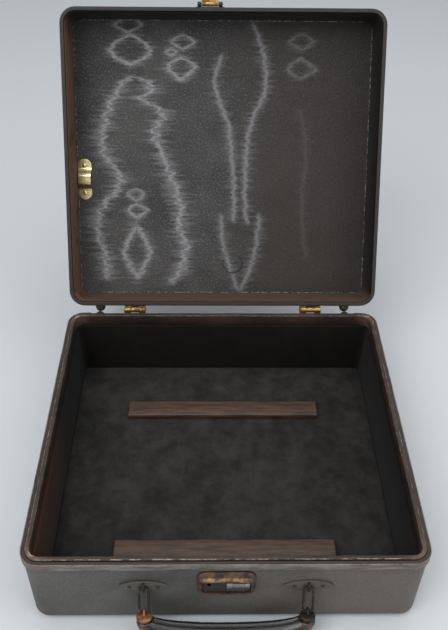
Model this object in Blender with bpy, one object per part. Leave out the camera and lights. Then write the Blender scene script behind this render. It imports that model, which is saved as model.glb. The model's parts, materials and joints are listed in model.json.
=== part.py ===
"""Portable typewriter case: a wooden tray with a hinged lid, covered in leatherette.

All sizes are in metres. X runs to the right, Y to the back and Z up. The origin is the centre of the
tray's underside. The lid is modelled shut, then turned open about its hinge.
"""
import bmesh
import bpy
from math import asin, cos, pi, radians, sin, tan
from mathutils import Matrix, Vector

# Whole case
case_width = 0.3300
case_depth = 0.3050
base_height = 0.0820          # underside to the parting line
lid_height = 0.0540
corner_radius = 0.0160        # upright corners, outside
edge_radius = 0.0040          # edges of the underside and of the lid's top
lid_open_degrees = 118.4
part_gap = 0.0004             # between the shut lid's rim and the tray's ledge
seat = 0.0003                 # between two pieces that touch
overrun = 0.0020              # how far a cut runs past the surface it starts from
corner_steps = 6
edge_steps = 3

# Walls, boards and coverings
cover_thick = 0.0007
base_ply = 0.0045
lid_ply = 0.0028
base_board_thick = 0.0050
lid_board_thick = 0.0035
band_thick = 0.0011
band_height = 0.0087
band_round = 0.0005
band_end = 0.0070             # how far the band runs on past the rear corners
lip_thick = 0.0005
lip_rise = 0.0017             # top of the lip above the ledge
lip_turn_down = 0.0110        # how far the lip's covering runs down inside
lip_round = 0.0006
liner_thick = 0.0030
floor_lining_thick = 0.0024
lid_wall_lining_thick = 0.0007
lid_top_lining_thick = 0.0008
lid_lining_start = 0.0024     # bare inner edge at the lid's rim

# Battens that the machine's feet rest on
batten_length = 0.2000
batten_width = 0.0200
batten_height = 0.0060
batten_bevel = 0.0010
batten_front_y = -0.0950
batten_rear_y = 0.0750

# Nails and rivets
nail_head = 0.0019
rivet_shank = 0.0008
rivet_head = 0.0013
rivet_rise = 0.0008
fastener_steps = 10
dome_steps = 3

# Glides under the tray and studs behind tray and lid
glide_radius = 0.0070
glide_height = 0.0035
glide_inset_x = 0.0260
glide_inset_y = 0.0260
stud_radius = 0.0055
lid_stud_height = 0.0076
stud_shank = 0.0012
stud_inset = 0.0320            # from the case's side
round_steps = 16
round_dome_steps = 5

# Hinges
hinge_inset = 0.0700           # from the case's side to the middle of the hinge
hinge_width = 0.0227
hinge_stand_off = 0.0042      # pin axis behind the lid's rear face
knuckle_radius = 0.0030
leaf_thick = 0.0012
leaf_length = 0.0190
middle_knuckle = 0.0077
pin_end = 0.0008
joggle_low = 0.0075
joggle_high = 0.0045
roll_degrees = 280.0
roll_steps = 12
leaf_nail_spread = 0.0070
leaf_nail_upper = 0.0105
leaf_nail_lower = 0.0155

# Lock on the tray's front wall. Each drop is a height measured down from the tray's top
lock_width = 0.0468
lock_low_drop = 0.0426
lock_high_drop = 0.0100
lock_corner = 0.0075
lock_plate_thick = 0.0008
lock_edge_thick = 0.0006
lock_window_width = 0.0396
lock_window_low_drop = 0.0402
lock_window_high_drop = 0.0198
lock_window_corner = 0.0035
lock_window_arch = 0.0012
lock_rim_rise = 0.0032        # frame's crest above the wall at the bottom
lock_hood_rise = 0.0055       # and at the hood
lock_hood_power = 6           # how suddenly the sides rise to the hood
lock_crest_width = 0.0012
lock_steps = 5
lock_top_steps = 6
lock_rivet_spacing = 0.0344
lock_rivet_low_drop = 0.0384
lock_rivet_high_drop = 0.0216
pocket_left = -0.0222
pocket_right = 0.0200
pocket_low_drop = 0.0366
pocket_high_drop = 0.0228
pocket_depth = 0.0039

# Slide, bolt and spring of the lock
slide_travel = 0.0032
button_left = 0.0003
button_width = 0.0188
button_low_drop = 0.0360
button_height = 0.0110
button_thick = 0.0014
ridge_count = 6
ridge_pitch = 0.0018
ridge_height = 0.0007
neck_left = 0.0077
neck_width = 0.0040
neck_low_drop = 0.0320
neck_height = 0.0030
bolt_thick = 0.0014
bolt_bar_low_drop = 0.0358
bolt_bar_height = 0.0026
bolt_post_left = -0.0182
bolt_post_width = 0.0022
bolt_nose_low_drop = 0.0290
bolt_nose_height = 0.0020
bolt_nose_length = 0.0036
bolt_tab_high_drop = 0.0236
spring_radius = 0.0010
spring_wire = 0.0002
spring_turns = 8
spring_turn_steps = 8
spring_z_drop = 0.0254
spring_depth = 0.0014         # spring's axis behind the wall's face
lug_left = -0.0096
lug_thick = 0.0008
lug_low_drop = 0.0270
lug_depth = 0.0030

# Hasp on the lid's front wall
hasp_lift_degrees = 100.0     # how far the hasp lies back from its shut place
hasp_centre = -0.0140
hasp_width = 0.0169
hasp_thick = 0.0012
hasp_pin_height = 0.0040      # pin axis above the lid's rim
hasp_pin_out = 0.0036         # pin axis in front of the lid's front face
hasp_knuckle_radius = 0.0022
hasp_straight = 0.0250        # from the pin to the bend
hasp_bend = 0.0040
hasp_bend_in = 0.0014
hasp_length = 0.0410
hasp_tip_curl = 0.0012
hasp_tip_round = 0.0035
hasp_plate_width = 0.0290
hasp_plate_height = 0.0090    # above the pin
hasp_side_knuckle = 0.0038
hasp_rivet_spacing = 0.0222
hasp_rivet_height = 0.0062    # above the pin
staple_thick = 0.0016
staple_low_drop = 0.0310
staple_height = 0.0060
staple_end = 0.0028           # staple's end behind the wall's face
staple_wall = 0.0011
staple_hole_front = 0.0004

# Handle on the tray's front wall
plate_spacing = 0.1340
plate_length = 0.0400
plate_height = 0.0140
plate_thick = 0.0012
plate_z = 0.0510
plate_point_share = 1.3       # how pointed the plate's ends are
plate_rivet_spread = 0.0115
plate_steps = 10
eye_z = 0.0515
eye_radius = 0.0042
eye_wire = 0.0010
eye_leg = 0.0040              # eye's legs behind the wall's face
wire_sides = 8
arch_steps = 8
link_wire = 0.0013
link_width = 0.0080
link_length = 0.0245
link_corner = 0.0030
link_steps = 4
cap_length = 0.0030
cap_round = 0.0012
cap_eye_wire = 0.0010
grip_end_radius = 0.0068
grip_mid_radius = 0.0095
grip_reach = 0.0480           # swing axis to the middle of the grip
grip_lead = 0.0012            # straight stretch at each end of the grip
grip_end_pull = 0.0110        # lengths of the curve's two handles
grip_mid_pull = 0.0400
grip_steps = 10
grip_sides = 12
leather_thick = 0.0018

# Fittings on the lid's lining
strap_inset = 0.0129          # from the case's left side
strap_low_y = -0.0025
strap_length = 0.0445
strap_width = 0.0150
strap_thick = 0.0009
strap_rise = 0.0048
strap_foot = 0.0120
strap_ramp = 0.0050
strap_waist_share = 0.93
strap_end_shares = (0.50, 0.80)   # of the width, at a rounded end and a little way in
strap_rivet_inset = 0.0073
strap_rivet_head = 0.0024
disc_x = 0.0120
disc_inset = 0.0390           # from the rear of the shut lid
disc_radius = 0.0108
disc_rise = 0.0022
disc_edge = 0.0008

# Places that follow from the sizes above
front_y = -case_depth / 2
rear_y = case_depth / 2
cover_inset = band_thick + seat
ply_inset = cover_inset + cover_thick + seat
ply_inner = ply_inset + base_ply
lid_ply_inset = cover_thick + seat
lid_ply_inner = lid_ply_inset + lid_ply
ledge_inner = lid_ply_inner
lip_inset = ledge_inner + seat
tongue_inset = lip_inset + lip_thick + seat
liner_inset = ply_inner + seat
lip_inner = liner_inset + lip_thick
liner_inner = liner_inset + liner_thick
board_low = cover_thick + seat
board_high = board_low + base_board_thick
walls_low = board_high + seat
floor_low = walls_low
floor_high = floor_low + floor_lining_thick
lip_low = base_height - lip_turn_down
lip_top = base_height + lip_rise
lid_rim = base_height + part_gap
lid_top = lid_rim + lid_height
lid_board_high = lid_top - cover_thick - seat
lid_board_low = lid_board_high - lid_board_thick
lid_lining_high = lid_board_low - seat
lid_lining_low = lid_lining_high - lid_top_lining_thick
lid_wall_lining_inner = lid_ply_inner + seat + lid_wall_lining_thick
front_face = front_y + cover_inset
rear_face = rear_y - cover_inset
hinge_y = rear_y + hinge_stand_off
hinge_z = base_height + part_gap / 2
hinge_point = Vector((0, hinge_y, hinge_z))
half_wedge = radians(180 - lid_open_degrees) / 2
stud_centre = lid_stud_height - stud_radius
stud_reach = (stud_radius + seat / 2) / cos(half_wedge)
stud_drop = (stud_reach + stud_centre - hinge_stand_off) / tan(half_wedge)
base_stud_height = lid_stud_height + cover_inset
hasp_pin_y = front_y - hasp_pin_out
hasp_pin_z = lid_rim + hasp_pin_height
plate_face = front_face - seat - plate_thick
swing_y = plate_face - (eye_radius - eye_wire - seat - link_wire)
swing_z = eye_z
hang_drop = swing_z + glide_height - seat - grip_mid_radius
hang_angle = asin(hang_drop / grip_reach)
cap_eye_radius = link_wire + seat + cap_eye_wire
cap_low = link_length + cap_eye_radius
grip_end = cap_low + cap_length
lock_low = base_height - lock_low_drop
lock_high = base_height - lock_high_drop
lock_window_low = base_height - lock_window_low_drop
lock_window_high = base_height - lock_window_high_drop
lock_rivet_low = base_height - lock_rivet_low_drop
lock_rivet_high = base_height - lock_rivet_high_drop
pocket_low = base_height - pocket_low_drop
pocket_high = base_height - pocket_high_drop
button_low = base_height - button_low_drop
neck_low = base_height - neck_low_drop
bolt_bar_low = base_height - bolt_bar_low_drop
bolt_nose_low = base_height - bolt_nose_low_drop
bolt_tab_high = base_height - bolt_tab_high_drop
spring_z = base_height - spring_z_drop
lug_low = base_height - lug_low_drop
staple_low = base_height - staple_low_drop
stud_spacing = case_width - 2 * stud_inset
hinge_spacing = case_width - 2 * hinge_inset
strap_centre_x = strap_inset - case_width / 2
disc_y = rear_y - disc_inset
glide_x = case_width / 2 - glide_inset_x
glide_y = case_depth / 2 - glide_inset_y


def clear_scene():
    for old in list(bpy.data.objects):
        bpy.data.objects.remove(old)


def material(name, colour, roughness, metallic=0.0):
    made = bpy.data.materials.new(name)
    made.use_nodes = True
    shader = made.node_tree.nodes["Principled BSDF"]
    shader.inputs["Base Color"].default_value = (*colour, 1.0)
    shader.inputs["Roughness"].default_value = roughness
    shader.inputs["Metallic"].default_value = metallic
    return made


def empty(name, place, parent=None):
    made = bpy.data.objects.new(name, None)
    made.location = place
    made.parent = parent
    bpy.context.scene.collection.objects.link(made)
    return made


def add_object(name, bm, finish, parent=None, place=None):
    """Close the mesh's normals and link it as one named object."""
    bmesh.ops.recalc_face_normals(bm, faces=bm.faces)
    mesh = bpy.data.meshes.new(name)
    bm.to_mesh(mesh)
    bm.free()
    mesh.materials.append(finish)
    mesh.shade_smooth()
    mesh.set_sharp_from_angle(angle=radians(35))
    made = bpy.data.objects.new(name, mesh)
    made.parent = parent
    made.location = place or Vector((0, 0, 0))
    bpy.context.scene.collection.objects.link(made)
    return made


def combine(target, helper, operation):
    helper.hide_render = True
    helper.display_type = "WIRE"
    change = target.modifiers.new(operation.lower(), "BOOLEAN")
    change.operation = operation
    change.object = helper


def skin(bm, loops, closed):
    """Join loops of equal length with faces. An open run of loops gets a cap at each end."""
    rows = [[bm.verts.new(point) for point in loop] for loop in loops]
    for low, high in zip(rows, rows[1:] + (rows[:1] if closed else [])):
        for here in range(len(low)):
            after = (here + 1) % len(low)
            bm.faces.new((low[here], low[after], high[after], high[here]))
    if not closed:
        bm.faces.new(rows[0])
        bm.faces.new(rows[-1])


def case_outline(inset):
    """The case's outline seen from above, moved in by inset."""
    x_centre = case_width / 2 - corner_radius
    y_centre = case_depth / 2 - corner_radius
    radius = corner_radius - inset
    points = []
    for quarter, (x_side, y_side) in enumerate(((1, 1), (-1, 1), (-1, -1), (1, -1))):
        for step in range(corner_steps + 1):
            angle = pi / 2 * (quarter + step / corner_steps)
            points.append((x_side * x_centre + radius * cos(angle), y_side * y_centre + radius * sin(angle)))
    return points


def case_loop(inset, height):
    return [(x, y, height) for x, y in case_outline(inset)]


def ring_piece(name, section, finish, parent=None, place=None):
    """A closed section of (inset, height) points, run round the case."""
    bm = bmesh.new()
    skin(bm, [case_loop(inset, height) for inset, height in section], closed=True)
    return add_object(name, bm, finish, parent, place)


def shell_piece(name, section, finish, parent=None, place=None):
    """An open section run round the case, with its first and last loops filled."""
    bm = bmesh.new()
    skin(bm, [case_loop(inset, height) for inset, height in section], closed=False)
    return add_object(name, bm, finish, parent, place)


def edge_arc(inset, height, radius, side):
    """Quarter round from the flat face to the wall. side is -1 for the underside, 1 for the top."""
    points = []
    for step in range(edge_steps + 1):
        angle = pi / 2 * step / edge_steps
        points.append((inset - radius * sin(angle), height + side * radius * cos(angle)))
    return points


def turned(bm, profile, place, steps):
    """Turn (radius, height) points about the local Z axis of place."""
    rows = []
    for radius, height in profile:
        count = steps if radius else 1
        turns = [2 * pi * step / steps for step in range(count)]
        rows.append([bm.verts.new(place @ Vector((radius * cos(t), radius * sin(t), height))) for t in turns])
    for low, high in zip(rows, rows[1:]):
        for here in range(steps):
            after = here + 1
            corners = (low[here % len(low)], low[after % len(low)], high[after % len(high)], high[here % len(high)])
            bm.faces.new(list(dict.fromkeys(corners)))


def facing(point, direction):
    turn = Vector(direction).to_track_quat("Z", "Y").to_matrix().to_4x4()
    return Matrix.Translation(Vector(point)) @ turn


def headed_profile(shank, length, head, rise, side=0.0, steps=dome_steps):
    """A pin under a domed head. Height 0 is the underside of the head, and side is its upright edge."""
    points = [(0, -length), (shank, -length), (shank, 0), (head, 0)]
    for step in range(0 if side else 1, steps):
        angle = pi / 2 * step / steps
        points.append((head * cos(angle), side + (rise - side) * sin(angle)))
    return points + [(0, rise)]


def fasteners(name, ends, places, direction, profile, finish, parent=None, place=None, steps=fastener_steps):
    for end, point in zip(ends, places):
        bm = bmesh.new()
        turned(bm, profile, facing(point, direction), steps)
        add_object(name + "_" + end, bm, finish, parent, place)


def fused_heads(target, places, direction, head):
    """Domed heads of nails or rivets, made in one piece with the metal that they hold."""
    bm = bmesh.new()
    for point in places:
        turned(bm, headed_profile(head / 2, seat, head, rivet_rise), facing(point, direction), fastener_steps)
    helper = add_object(target.name + "_heads", bm, target.data.materials[0], target.parent, target.location)
    combine(target, helper, "UNION")


def drill(target, places, direction, shank, depth, steps=fastener_steps):
    """Cut a hole for a shank into target at each place, against direction."""
    bm = bmesh.new()
    radius = shank + seat
    profile = ((0, -depth), (radius, -depth), (radius, overrun), (0, overrun))
    for point in places:
        turned(bm, profile, facing(point, direction), steps)
    cutter = add_object(target.name + "_holes", bm, target.data.materials[0], target.parent, target.location)
    combine(target, cutter, "DIFFERENCE")


def box_mesh(low, high):
    bm = bmesh.new()
    middle = [(a + b) / 2 for a, b in zip(low, high)]
    size = [b - a for a, b in zip(low, high)]
    bmesh.ops.create_cube(bm, size=1.0, matrix=Matrix.Translation(middle) @ Matrix.Diagonal((*size, 1.0)))
    return bm


def cut_box(target, low, high):
    helper = add_object(target.name + "_cut", box_mesh(low, high), target.data.materials[0])
    combine(target, helper, "DIFFERENCE")


def tube(bm, path, radii, sides, normal, closed=False, hollow=None):
    """A round tube along a flat path. hollow is the wall's thickness."""
    outer, inner = [], []
    count = len(path)
    for here, point in enumerate(path):
        before = path[(here - 1) % count] if closed or here else point
        after = path[(here + 1) % count] if closed or here < count - 1 else point
        along = (after - before).normalized()
        across = along.cross(normal).normalized()
        turns = [2 * pi * side / sides for side in range(sides)]
        outer.append([point + (across * cos(t) + normal * sin(t)) * radii[here] for t in turns])
        if hollow:
            inner.append([point + (across * cos(t) + normal * sin(t)) * (radii[here] - hollow) for t in turns])
    loops = outer + inner[::-1]
    skin(bm, loops, closed=closed or bool(hollow))


def strip(name, x_edges, rolled, flat, neck, roll_radius, thick, out, up, finish, parent=None, place=None):
    """A bent metal strip that may end in rolled knuckles round a pin on the X axis.

    flat holds (out, up, width share) for the side away from the pin, on the whole width. neck holds
    more such points for the segments in rolled only, up to the pin's height, where the roll starts.
    """
    bm = bmesh.new()
    middle = (x_edges[0] + x_edges[-1]) / 2

    def vertex(x, share, across, along):
        return bm.verts.new(Vector((middle + (x - middle) * share, 0, 0)) + out * across + up * along)

    def join(first, second):
        bm.faces.new((first[0], second[0], second[1], first[1]))

    def box_between(low, high):
        for one, two in ((0, 1), (1, 2), (2, 3), (3, 0)):
            bm.faces.new((low[one], low[two], high[two], high[one]))

    rows = []
    for across, along, share in flat:
        backs = [vertex(x, share, across, along) for x in x_edges]
        fronts = [vertex(x, share, across + thick, along) for x in x_edges]
        rows.append((backs, fronts))
    last = len(x_edges) - 1
    for low, high in zip(rows, rows[1:]):
        for segment in range(last):
            for side in (0, 1):
                join(low[side][segment:segment + 2], high[side][segment:segment + 2])
        for end in (0, last):
            bm.faces.new((low[0][end], low[1][end], high[1][end], high[0][end]))
    for segment in range(last):
        backs, fronts = rows[0]
        bm.faces.new((backs[segment], backs[segment + 1], fronts[segment + 1], fronts[segment]))
        backs, fronts = rows[-1]
        corners = [backs[segment], backs[segment + 1], fronts[segment + 1], fronts[segment]]
        if segment not in rolled:
            bm.faces.new(corners)
            continue
        pairs = [((across, along), (across + thick, along)) for across, along in neck]
        for step in range(1, roll_steps + 1):
            angle = radians(roll_degrees) * step / roll_steps
            inner_radius = roll_radius - thick
            pairs.append(((-roll_radius * cos(angle), roll_radius * sin(angle)),
                          (-inner_radius * cos(angle), inner_radius * sin(angle))))
        left, right = x_edges[segment], x_edges[segment + 1]
        for back, front in pairs:
            ring = [vertex(left, 1, *back), vertex(right, 1, *back), vertex(right, 1, *front),
                    vertex(left, 1, *front)]
            box_between(corners, ring)
            corners = ring
        bm.faces.new(corners)
    return add_object(name, bm, finish, parent, place)


def finishes():
    return {
        "leatherette": material("leatherette", (0.085, 0.080, 0.076), 0.62),
        "band": material("rim_leather", (0.105, 0.085, 0.075), 0.55),
        "lip": material("worn_lip", (0.170, 0.115, 0.090), 0.50),
        "wood": material("plywood", (0.480, 0.340, 0.200), 0.70),
        "wall_cloth": material("brown_cloth", (0.120, 0.070, 0.050), 0.80),
        "floor_cloth": material("charcoal_felt", (0.070, 0.068, 0.065), 0.90),
        "moire": material("moire_cloth", (0.075, 0.072, 0.070), 0.60),
        "brass": material("pale_brass", (0.720, 0.620, 0.360), 0.32, 1.0),
        "aged_brass": material("aged_brass", (0.360, 0.270, 0.130), 0.45, 1.0),
        "dark_steel": material("dark_steel", (0.060, 0.058, 0.055), 0.45, 0.8),
        "grey_steel": material("grey_steel", (0.330, 0.320, 0.300), 0.35, 1.0),
        "bronze": material("bronze", (0.330, 0.230, 0.150), 0.42, 1.0),
        "leather": material("black_leather", (0.022, 0.021, 0.020), 0.38),
        "rubber": material("dark_rubber", (0.030, 0.028, 0.026), 0.60),
    }


def base_body(looks):
    round_inner = edge_radius - cover_thick
    round_board = round_inner - seat
    edge_centre = cover_inset + edge_radius
    ledge_end = ledge_inner
    inside = edge_arc(edge_centre, edge_radius, round_inner, -1)
    outside = edge_arc(edge_centre, edge_radius, edge_radius, -1)
    covering = shell_piece("base_covering", inside + [
        (cover_inset + cover_thick, base_height - cover_thick),
        (ledge_end, base_height - cover_thick),
        (ledge_end, base_height),
        (cover_inset, base_height),
    ] + outside[::-1], looks["leatherette"])
    board = shell_piece("base_floor_board", edge_arc(edge_centre, edge_radius, round_board, -1) + [
        (ply_inset, board_high),
    ], looks["wood"])
    walls = ring_piece("base_walls", [
        (ply_inset, walls_low),
        (ply_inner, walls_low),
        (ply_inner, lip_top - lip_thick - seat),
        (tongue_inset, lip_top - lip_thick - seat),
        (tongue_inset, base_height - cover_thick - seat),
        (ply_inset, base_height - cover_thick - seat),
    ], looks["wood"])
    ring_piece("base_lip", [
        (lip_inset, base_height - cover_thick),
        (lip_inset, lip_top - lip_round),
        (lip_inset + lip_round, lip_top),
        (lip_inner - lip_round, lip_top),
        (lip_inner, lip_top - lip_round),
        (lip_inner, lip_low),
        (liner_inset, lip_low),
        (liner_inset, lip_top - lip_thick),
        (lip_inset + lip_thick, lip_top - lip_thick),
        (lip_inset + lip_thick, base_height - cover_thick),
    ], looks["lip"])
    ring_piece("base_wall_liner", [
        (liner_inset, walls_low),
        (liner_inner, walls_low),
        (liner_inner, lip_low - seat),
        (liner_inset, lip_low - seat),
    ], looks["wall_cloth"])
    lining = shell_piece("base_floor_lining", [
        (liner_inner + seat, floor_low),
        (liner_inner + seat, floor_high),
    ], looks["floor_cloth"])
    rim_band("base_rim_band", looks["band"])
    return {"covering": covering, "board": board, "walls": walls, "lining": lining}


def rim_band(name, finish):
    """The raised band round the tray's rim, open behind between the rear studs."""
    def band_path(inset):
        points = case_outline(inset)
        first = corner_steps + 1
        end_x = case_width / 2 - corner_radius - band_end
        return [(-end_x, rear_y - inset)] + points[first:] + points[:first] + [(end_x, rear_y - inset)]

    low = base_height - band_height
    section = [
        (0, low + band_round), (0, base_height - band_round), (band_round, base_height),
        (band_thick, base_height), (band_thick, low), (band_round, low),
    ]
    paths = [(band_path(inset), height) for inset, height in section]
    bm = bmesh.new()
    loops = [[(*path[place], height) for path, height in paths] for place in range(len(paths[0][0]))]
    skin(bm, loops, closed=False)
    return add_object(name, bm, finish)


def lid_body(looks, pose):
    round_inner = edge_radius - cover_thick
    round_board = round_inner - seat
    edge_height = lid_top - edge_radius
    inside = edge_arc(edge_radius, edge_height, round_inner, 1)
    outside = edge_arc(edge_radius, edge_height, edge_radius, 1)
    place = {"parent": pose, "place": -hinge_point}
    covering = shell_piece("lid_covering", inside + [
        (cover_thick, lid_rim + cover_thick),
        (lid_ply_inner, lid_rim + cover_thick),
        (lid_ply_inner, lid_rim),
        (0, lid_rim),
    ] + outside[::-1], looks["leatherette"], **place)
    board = shell_piece("lid_top_board", edge_arc(edge_radius, edge_height, round_board, 1) + [
        (lid_ply_inset, lid_board_low),
    ], looks["wood"], **place)
    walls = ring_piece("lid_walls", [
        (lid_ply_inset, lid_rim + cover_thick + seat),
        (lid_ply_inner, lid_rim + cover_thick + seat),
        (lid_ply_inner, lid_board_low - seat),
        (lid_ply_inset, lid_board_low - seat),
    ], looks["wood"], **place)
    wall_lining = ring_piece("lid_wall_lining", [
        (lid_ply_inner + seat, lid_rim + lid_lining_start),
        (lid_wall_lining_inner, lid_rim + lid_lining_start),
        (lid_wall_lining_inner, lid_board_low - seat),
        (lid_ply_inner + seat, lid_board_low - seat),
    ], looks["wall_cloth"], **place)
    lining = shell_piece("lid_top_lining", [
        (lid_wall_lining_inner + seat, lid_lining_low),
        (lid_wall_lining_inner + seat, lid_lining_high),
    ], looks["moire"], **place)
    return {"covering": covering, "board": board, "walls": walls, "lining": lining, "wall_lining": wall_lining}


def battens(looks):
    top = floor_high + seat + batten_height
    for name, y in (("front_batten", batten_front_y), ("rear_batten", batten_rear_y)):
        low = (-batten_length / 2, y - batten_width / 2, floor_high + seat)
        high = (batten_length / 2, y + batten_width / 2, top)
        bm = box_mesh(low, high)
        upper = [edge for edge in bm.edges if all(v.co.z > top - batten_bevel for v in edge.verts)]
        bmesh.ops.bevel(bm, geom=upper, offset=batten_bevel, segments=1, affect="EDGES")
        add_object(name, bm, looks["wood"])


def part_underside(target):
    """Divide the flat underside, so that the middle between the glides is a face of its own."""
    bm = bmesh.new()
    bm.from_mesh(target.data)
    for normal, reach in (((1, 0, 0), glide_x - glide_inset_x), ((0, 1, 0), glide_y - glide_inset_y)):
        for side in (-1, 1):
            flat = [face for face in bm.faces if all(abs(v.co.z) < seat / 2 for v in face.verts)]
            parts = {edge for face in flat for edge in face.edges} | {v for face in flat for v in face.verts}
            bmesh.ops.bisect_plane(bm, geom=flat + list(parts), dist=seat / 100,
                                   plane_co=Vector(normal) * side * reach, plane_no=normal)
    bm.to_mesh(target.data)
    bm.free()


def glides(looks, base):
    places = [(x_side * glide_x, y_side * glide_y, -seat) for x_side in (-1, 1) for y_side in (-1, 1)]
    ends = ("front_left", "rear_left", "front_right", "rear_right")
    depth = cover_thick + base_board_thick / 2 + 2 * seat
    profile = headed_profile(stud_shank, depth, glide_radius, glide_height - seat, steps=round_dome_steps)
    fasteners("glide", ends, places, (0, 0, -1), profile, looks["dark_steel"], steps=round_steps)
    part_underside(base["covering"])
    drill(base["covering"], places, (0, 0, -1), stud_shank, depth, round_steps)
    drill(base["board"], places, (0, 0, -1), stud_shank, depth + seat, round_steps)


def studs(looks, base, lid, pose):
    """Domed studs on both rear walls. The open lid comes to rest on those of the tray."""
    sides = (-stud_spacing / 2, stud_spacing / 2)
    low = [(x, rear_face + seat, hinge_z - stud_drop) for x in sides]
    depth = cover_thick + base_ply / 2 + 2 * seat
    rise = base_stud_height - seat
    profile = headed_profile(stud_shank, depth, stud_radius, rise, rise - stud_radius, round_dome_steps)
    fasteners("base_stud", ("left", "right"), low, (0, 1, 0), profile, looks["dark_steel"], steps=round_steps)
    for target in (base["covering"], base["walls"]):
        drill(target, low, (0, 1, 0), stud_shank, depth + seat, round_steps)
    high = [(x, rear_y + seat, hinge_z + stud_drop) for x in sides]
    depth = cover_thick + lid_ply / 2 + 2 * seat
    rise = lid_stud_height - seat
    profile = headed_profile(stud_shank, depth, stud_radius, rise, rise - stud_radius, round_dome_steps)
    fasteners("lid_stud", ("left", "right"), high, (0, 1, 0), profile, looks["dark_steel"], pose, -hinge_point,
              round_steps)
    for target in (lid["covering"], lid["walls"]):
        drill(target, high, (0, 1, 0), stud_shank, depth + seat, round_steps)


def hinge_leaf(name, x, wall, wide, up, looks, parent, place):
    """One leaf. wall is the wall's face seen from the pin, wide says which knuckles are rolled."""
    half = hinge_width / 2
    inner = middle_knuckle / 2 + (0 if wide == "middle" else seat)
    edges = (x - half, x - inner, x + inner, x + half)
    rolled = (1,) if wide == "middle" else (0, 2)
    back = -wall + seat
    flat = (
        (back, -leaf_length, 1), (back, -joggle_low, 1), (-knuckle_radius, -joggle_high, 1),
        (-knuckle_radius, -knuckle_radius - seat, 1),
    )
    neck = ((-knuckle_radius, 0),)
    return strip(name, edges, rolled, flat, neck, knuckle_radius, leaf_thick, Vector((0, 1, 0)),
                 Vector((0, 0, up)), looks["aged_brass"], parent, place)


def hinges(looks, pose):
    spots = ((-leaf_nail_spread, leaf_nail_upper), (leaf_nail_spread, leaf_nail_upper), (0, leaf_nail_lower))
    base_wall = hinge_stand_off + cover_inset
    for side, x in (("left", -hinge_spacing / 2), ("right", hinge_spacing / 2)):
        leaf = hinge_leaf("hinge_base_leaf_" + side, x, base_wall, "sides", 1, looks, None, hinge_point)
        nails = [(x + dx, leaf_thick + seat - base_wall, -dz) for dx, dz in spots]
        fused_heads(leaf, nails, (0, 1, 0), nail_head)
        leaf = hinge_leaf("hinge_lid_leaf_" + side, x, hinge_stand_off, "middle", -1, looks, pose, None)
        nails = [(x + dx, leaf_thick + seat - hinge_stand_off, dz) for dx, dz in spots]
        fused_heads(leaf, nails, (0, 1, 0), nail_head)
        pin("hinge_pin_" + side, x, hinge_width + pin_end * 2, knuckle_radius - leaf_thick - seat, looks, None,
            hinge_point)


def pin(name, x, length, radius, looks, parent, place):
    bm = bmesh.new()
    profile = ((0, -length / 2), (radius, -length / 2), (radius, length / 2), (0, length / 2))
    turned(bm, profile, facing((x, 0, 0), (1, 0, 0)), fastener_steps)
    add_object(name, bm, looks["aged_brass"], parent, place)


def front_point(x, out, z):
    """A point on the tray's front, out from the covering's face."""
    return Vector((x, front_face - out, z))


def lock_outline(half_width, low, high, radius, arch=0.0):
    """A rounded rectangle in X and Z whose top edge may rise to an arch."""
    points = []
    corners = ((1, 1), (-1, 1), (-1, -1), (1, -1))
    for quarter, (x_side, z_side) in enumerate(corners):
        x_centre = x_side * (half_width - radius)
        z_centre = (high - radius) if z_side > 0 else (low + radius)
        for step in range(lock_steps + 1):
            angle = pi / 2 * (quarter + step / lock_steps)
            points.append((x_centre + radius * cos(angle), z_centre + radius * sin(angle)))
        if quarter == 0:
            for step in range(1, lock_top_steps):
                share = 1 - 2 * step / lock_top_steps
                points.append((x_centre * share, high + arch * (1 - share * share)))
    return points


def front_prism(bm, outline, near, far):
    """Extrude an outline in X and Z between two distances in front of the wall."""
    skin(bm, [[front_point(x, out, z) for x, z in outline] for out in (near, far)], closed=False)


def lock_case(looks, base):
    back = seat
    front = back + lock_plate_thick
    bm = bmesh.new()
    front_prism(bm, lock_outline(lock_width / 2, lock_low, lock_high, lock_corner), back, front)
    plate = add_object("lock_back_plate", bm, looks["dark_steel"])
    bm = bmesh.new()
    lug = ((lug_left, lug_low), (lug_left + lug_thick, lug_low), (lug_left + lug_thick, bolt_tab_high),
           (lug_left, bolt_tab_high))
    front_prism(bm, lug, -lug_depth, back + lock_plate_thick / 2)
    combine(plate, add_object("lock_lug", bm, looks["dark_steel"]), "UNION")
    cut_box(plate, front_point(neck_left - slide_travel - seat, front + overrun, neck_low - seat),
            front_point(neck_left + neck_width + seat, back - overrun, neck_low + neck_height + seat))
    cut_box(plate, front_point(hasp_centre - staple_thick / 2 - 2 * seat, front + overrun, staple_low - 3 * seat),
            front_point(hasp_centre + staple_thick / 2 + 2 * seat, back - overrun,
                        staple_low + staple_height + 3 * seat))
    rivets = [front_point(side * lock_rivet_spacing / 2, front, z) for side in (-1, 1)
              for z in (lock_rivet_low, lock_rivet_high)]
    fused_heads(plate, rivets, (0, -1, 0), rivet_head)
    for target in (base["covering"], base["walls"]):
        cut_box(target, front_point(pocket_left, overrun, pocket_low),
                front_point(pocket_right, -pocket_depth, pocket_high))
    lock_frame(looks, front + seat)


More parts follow.
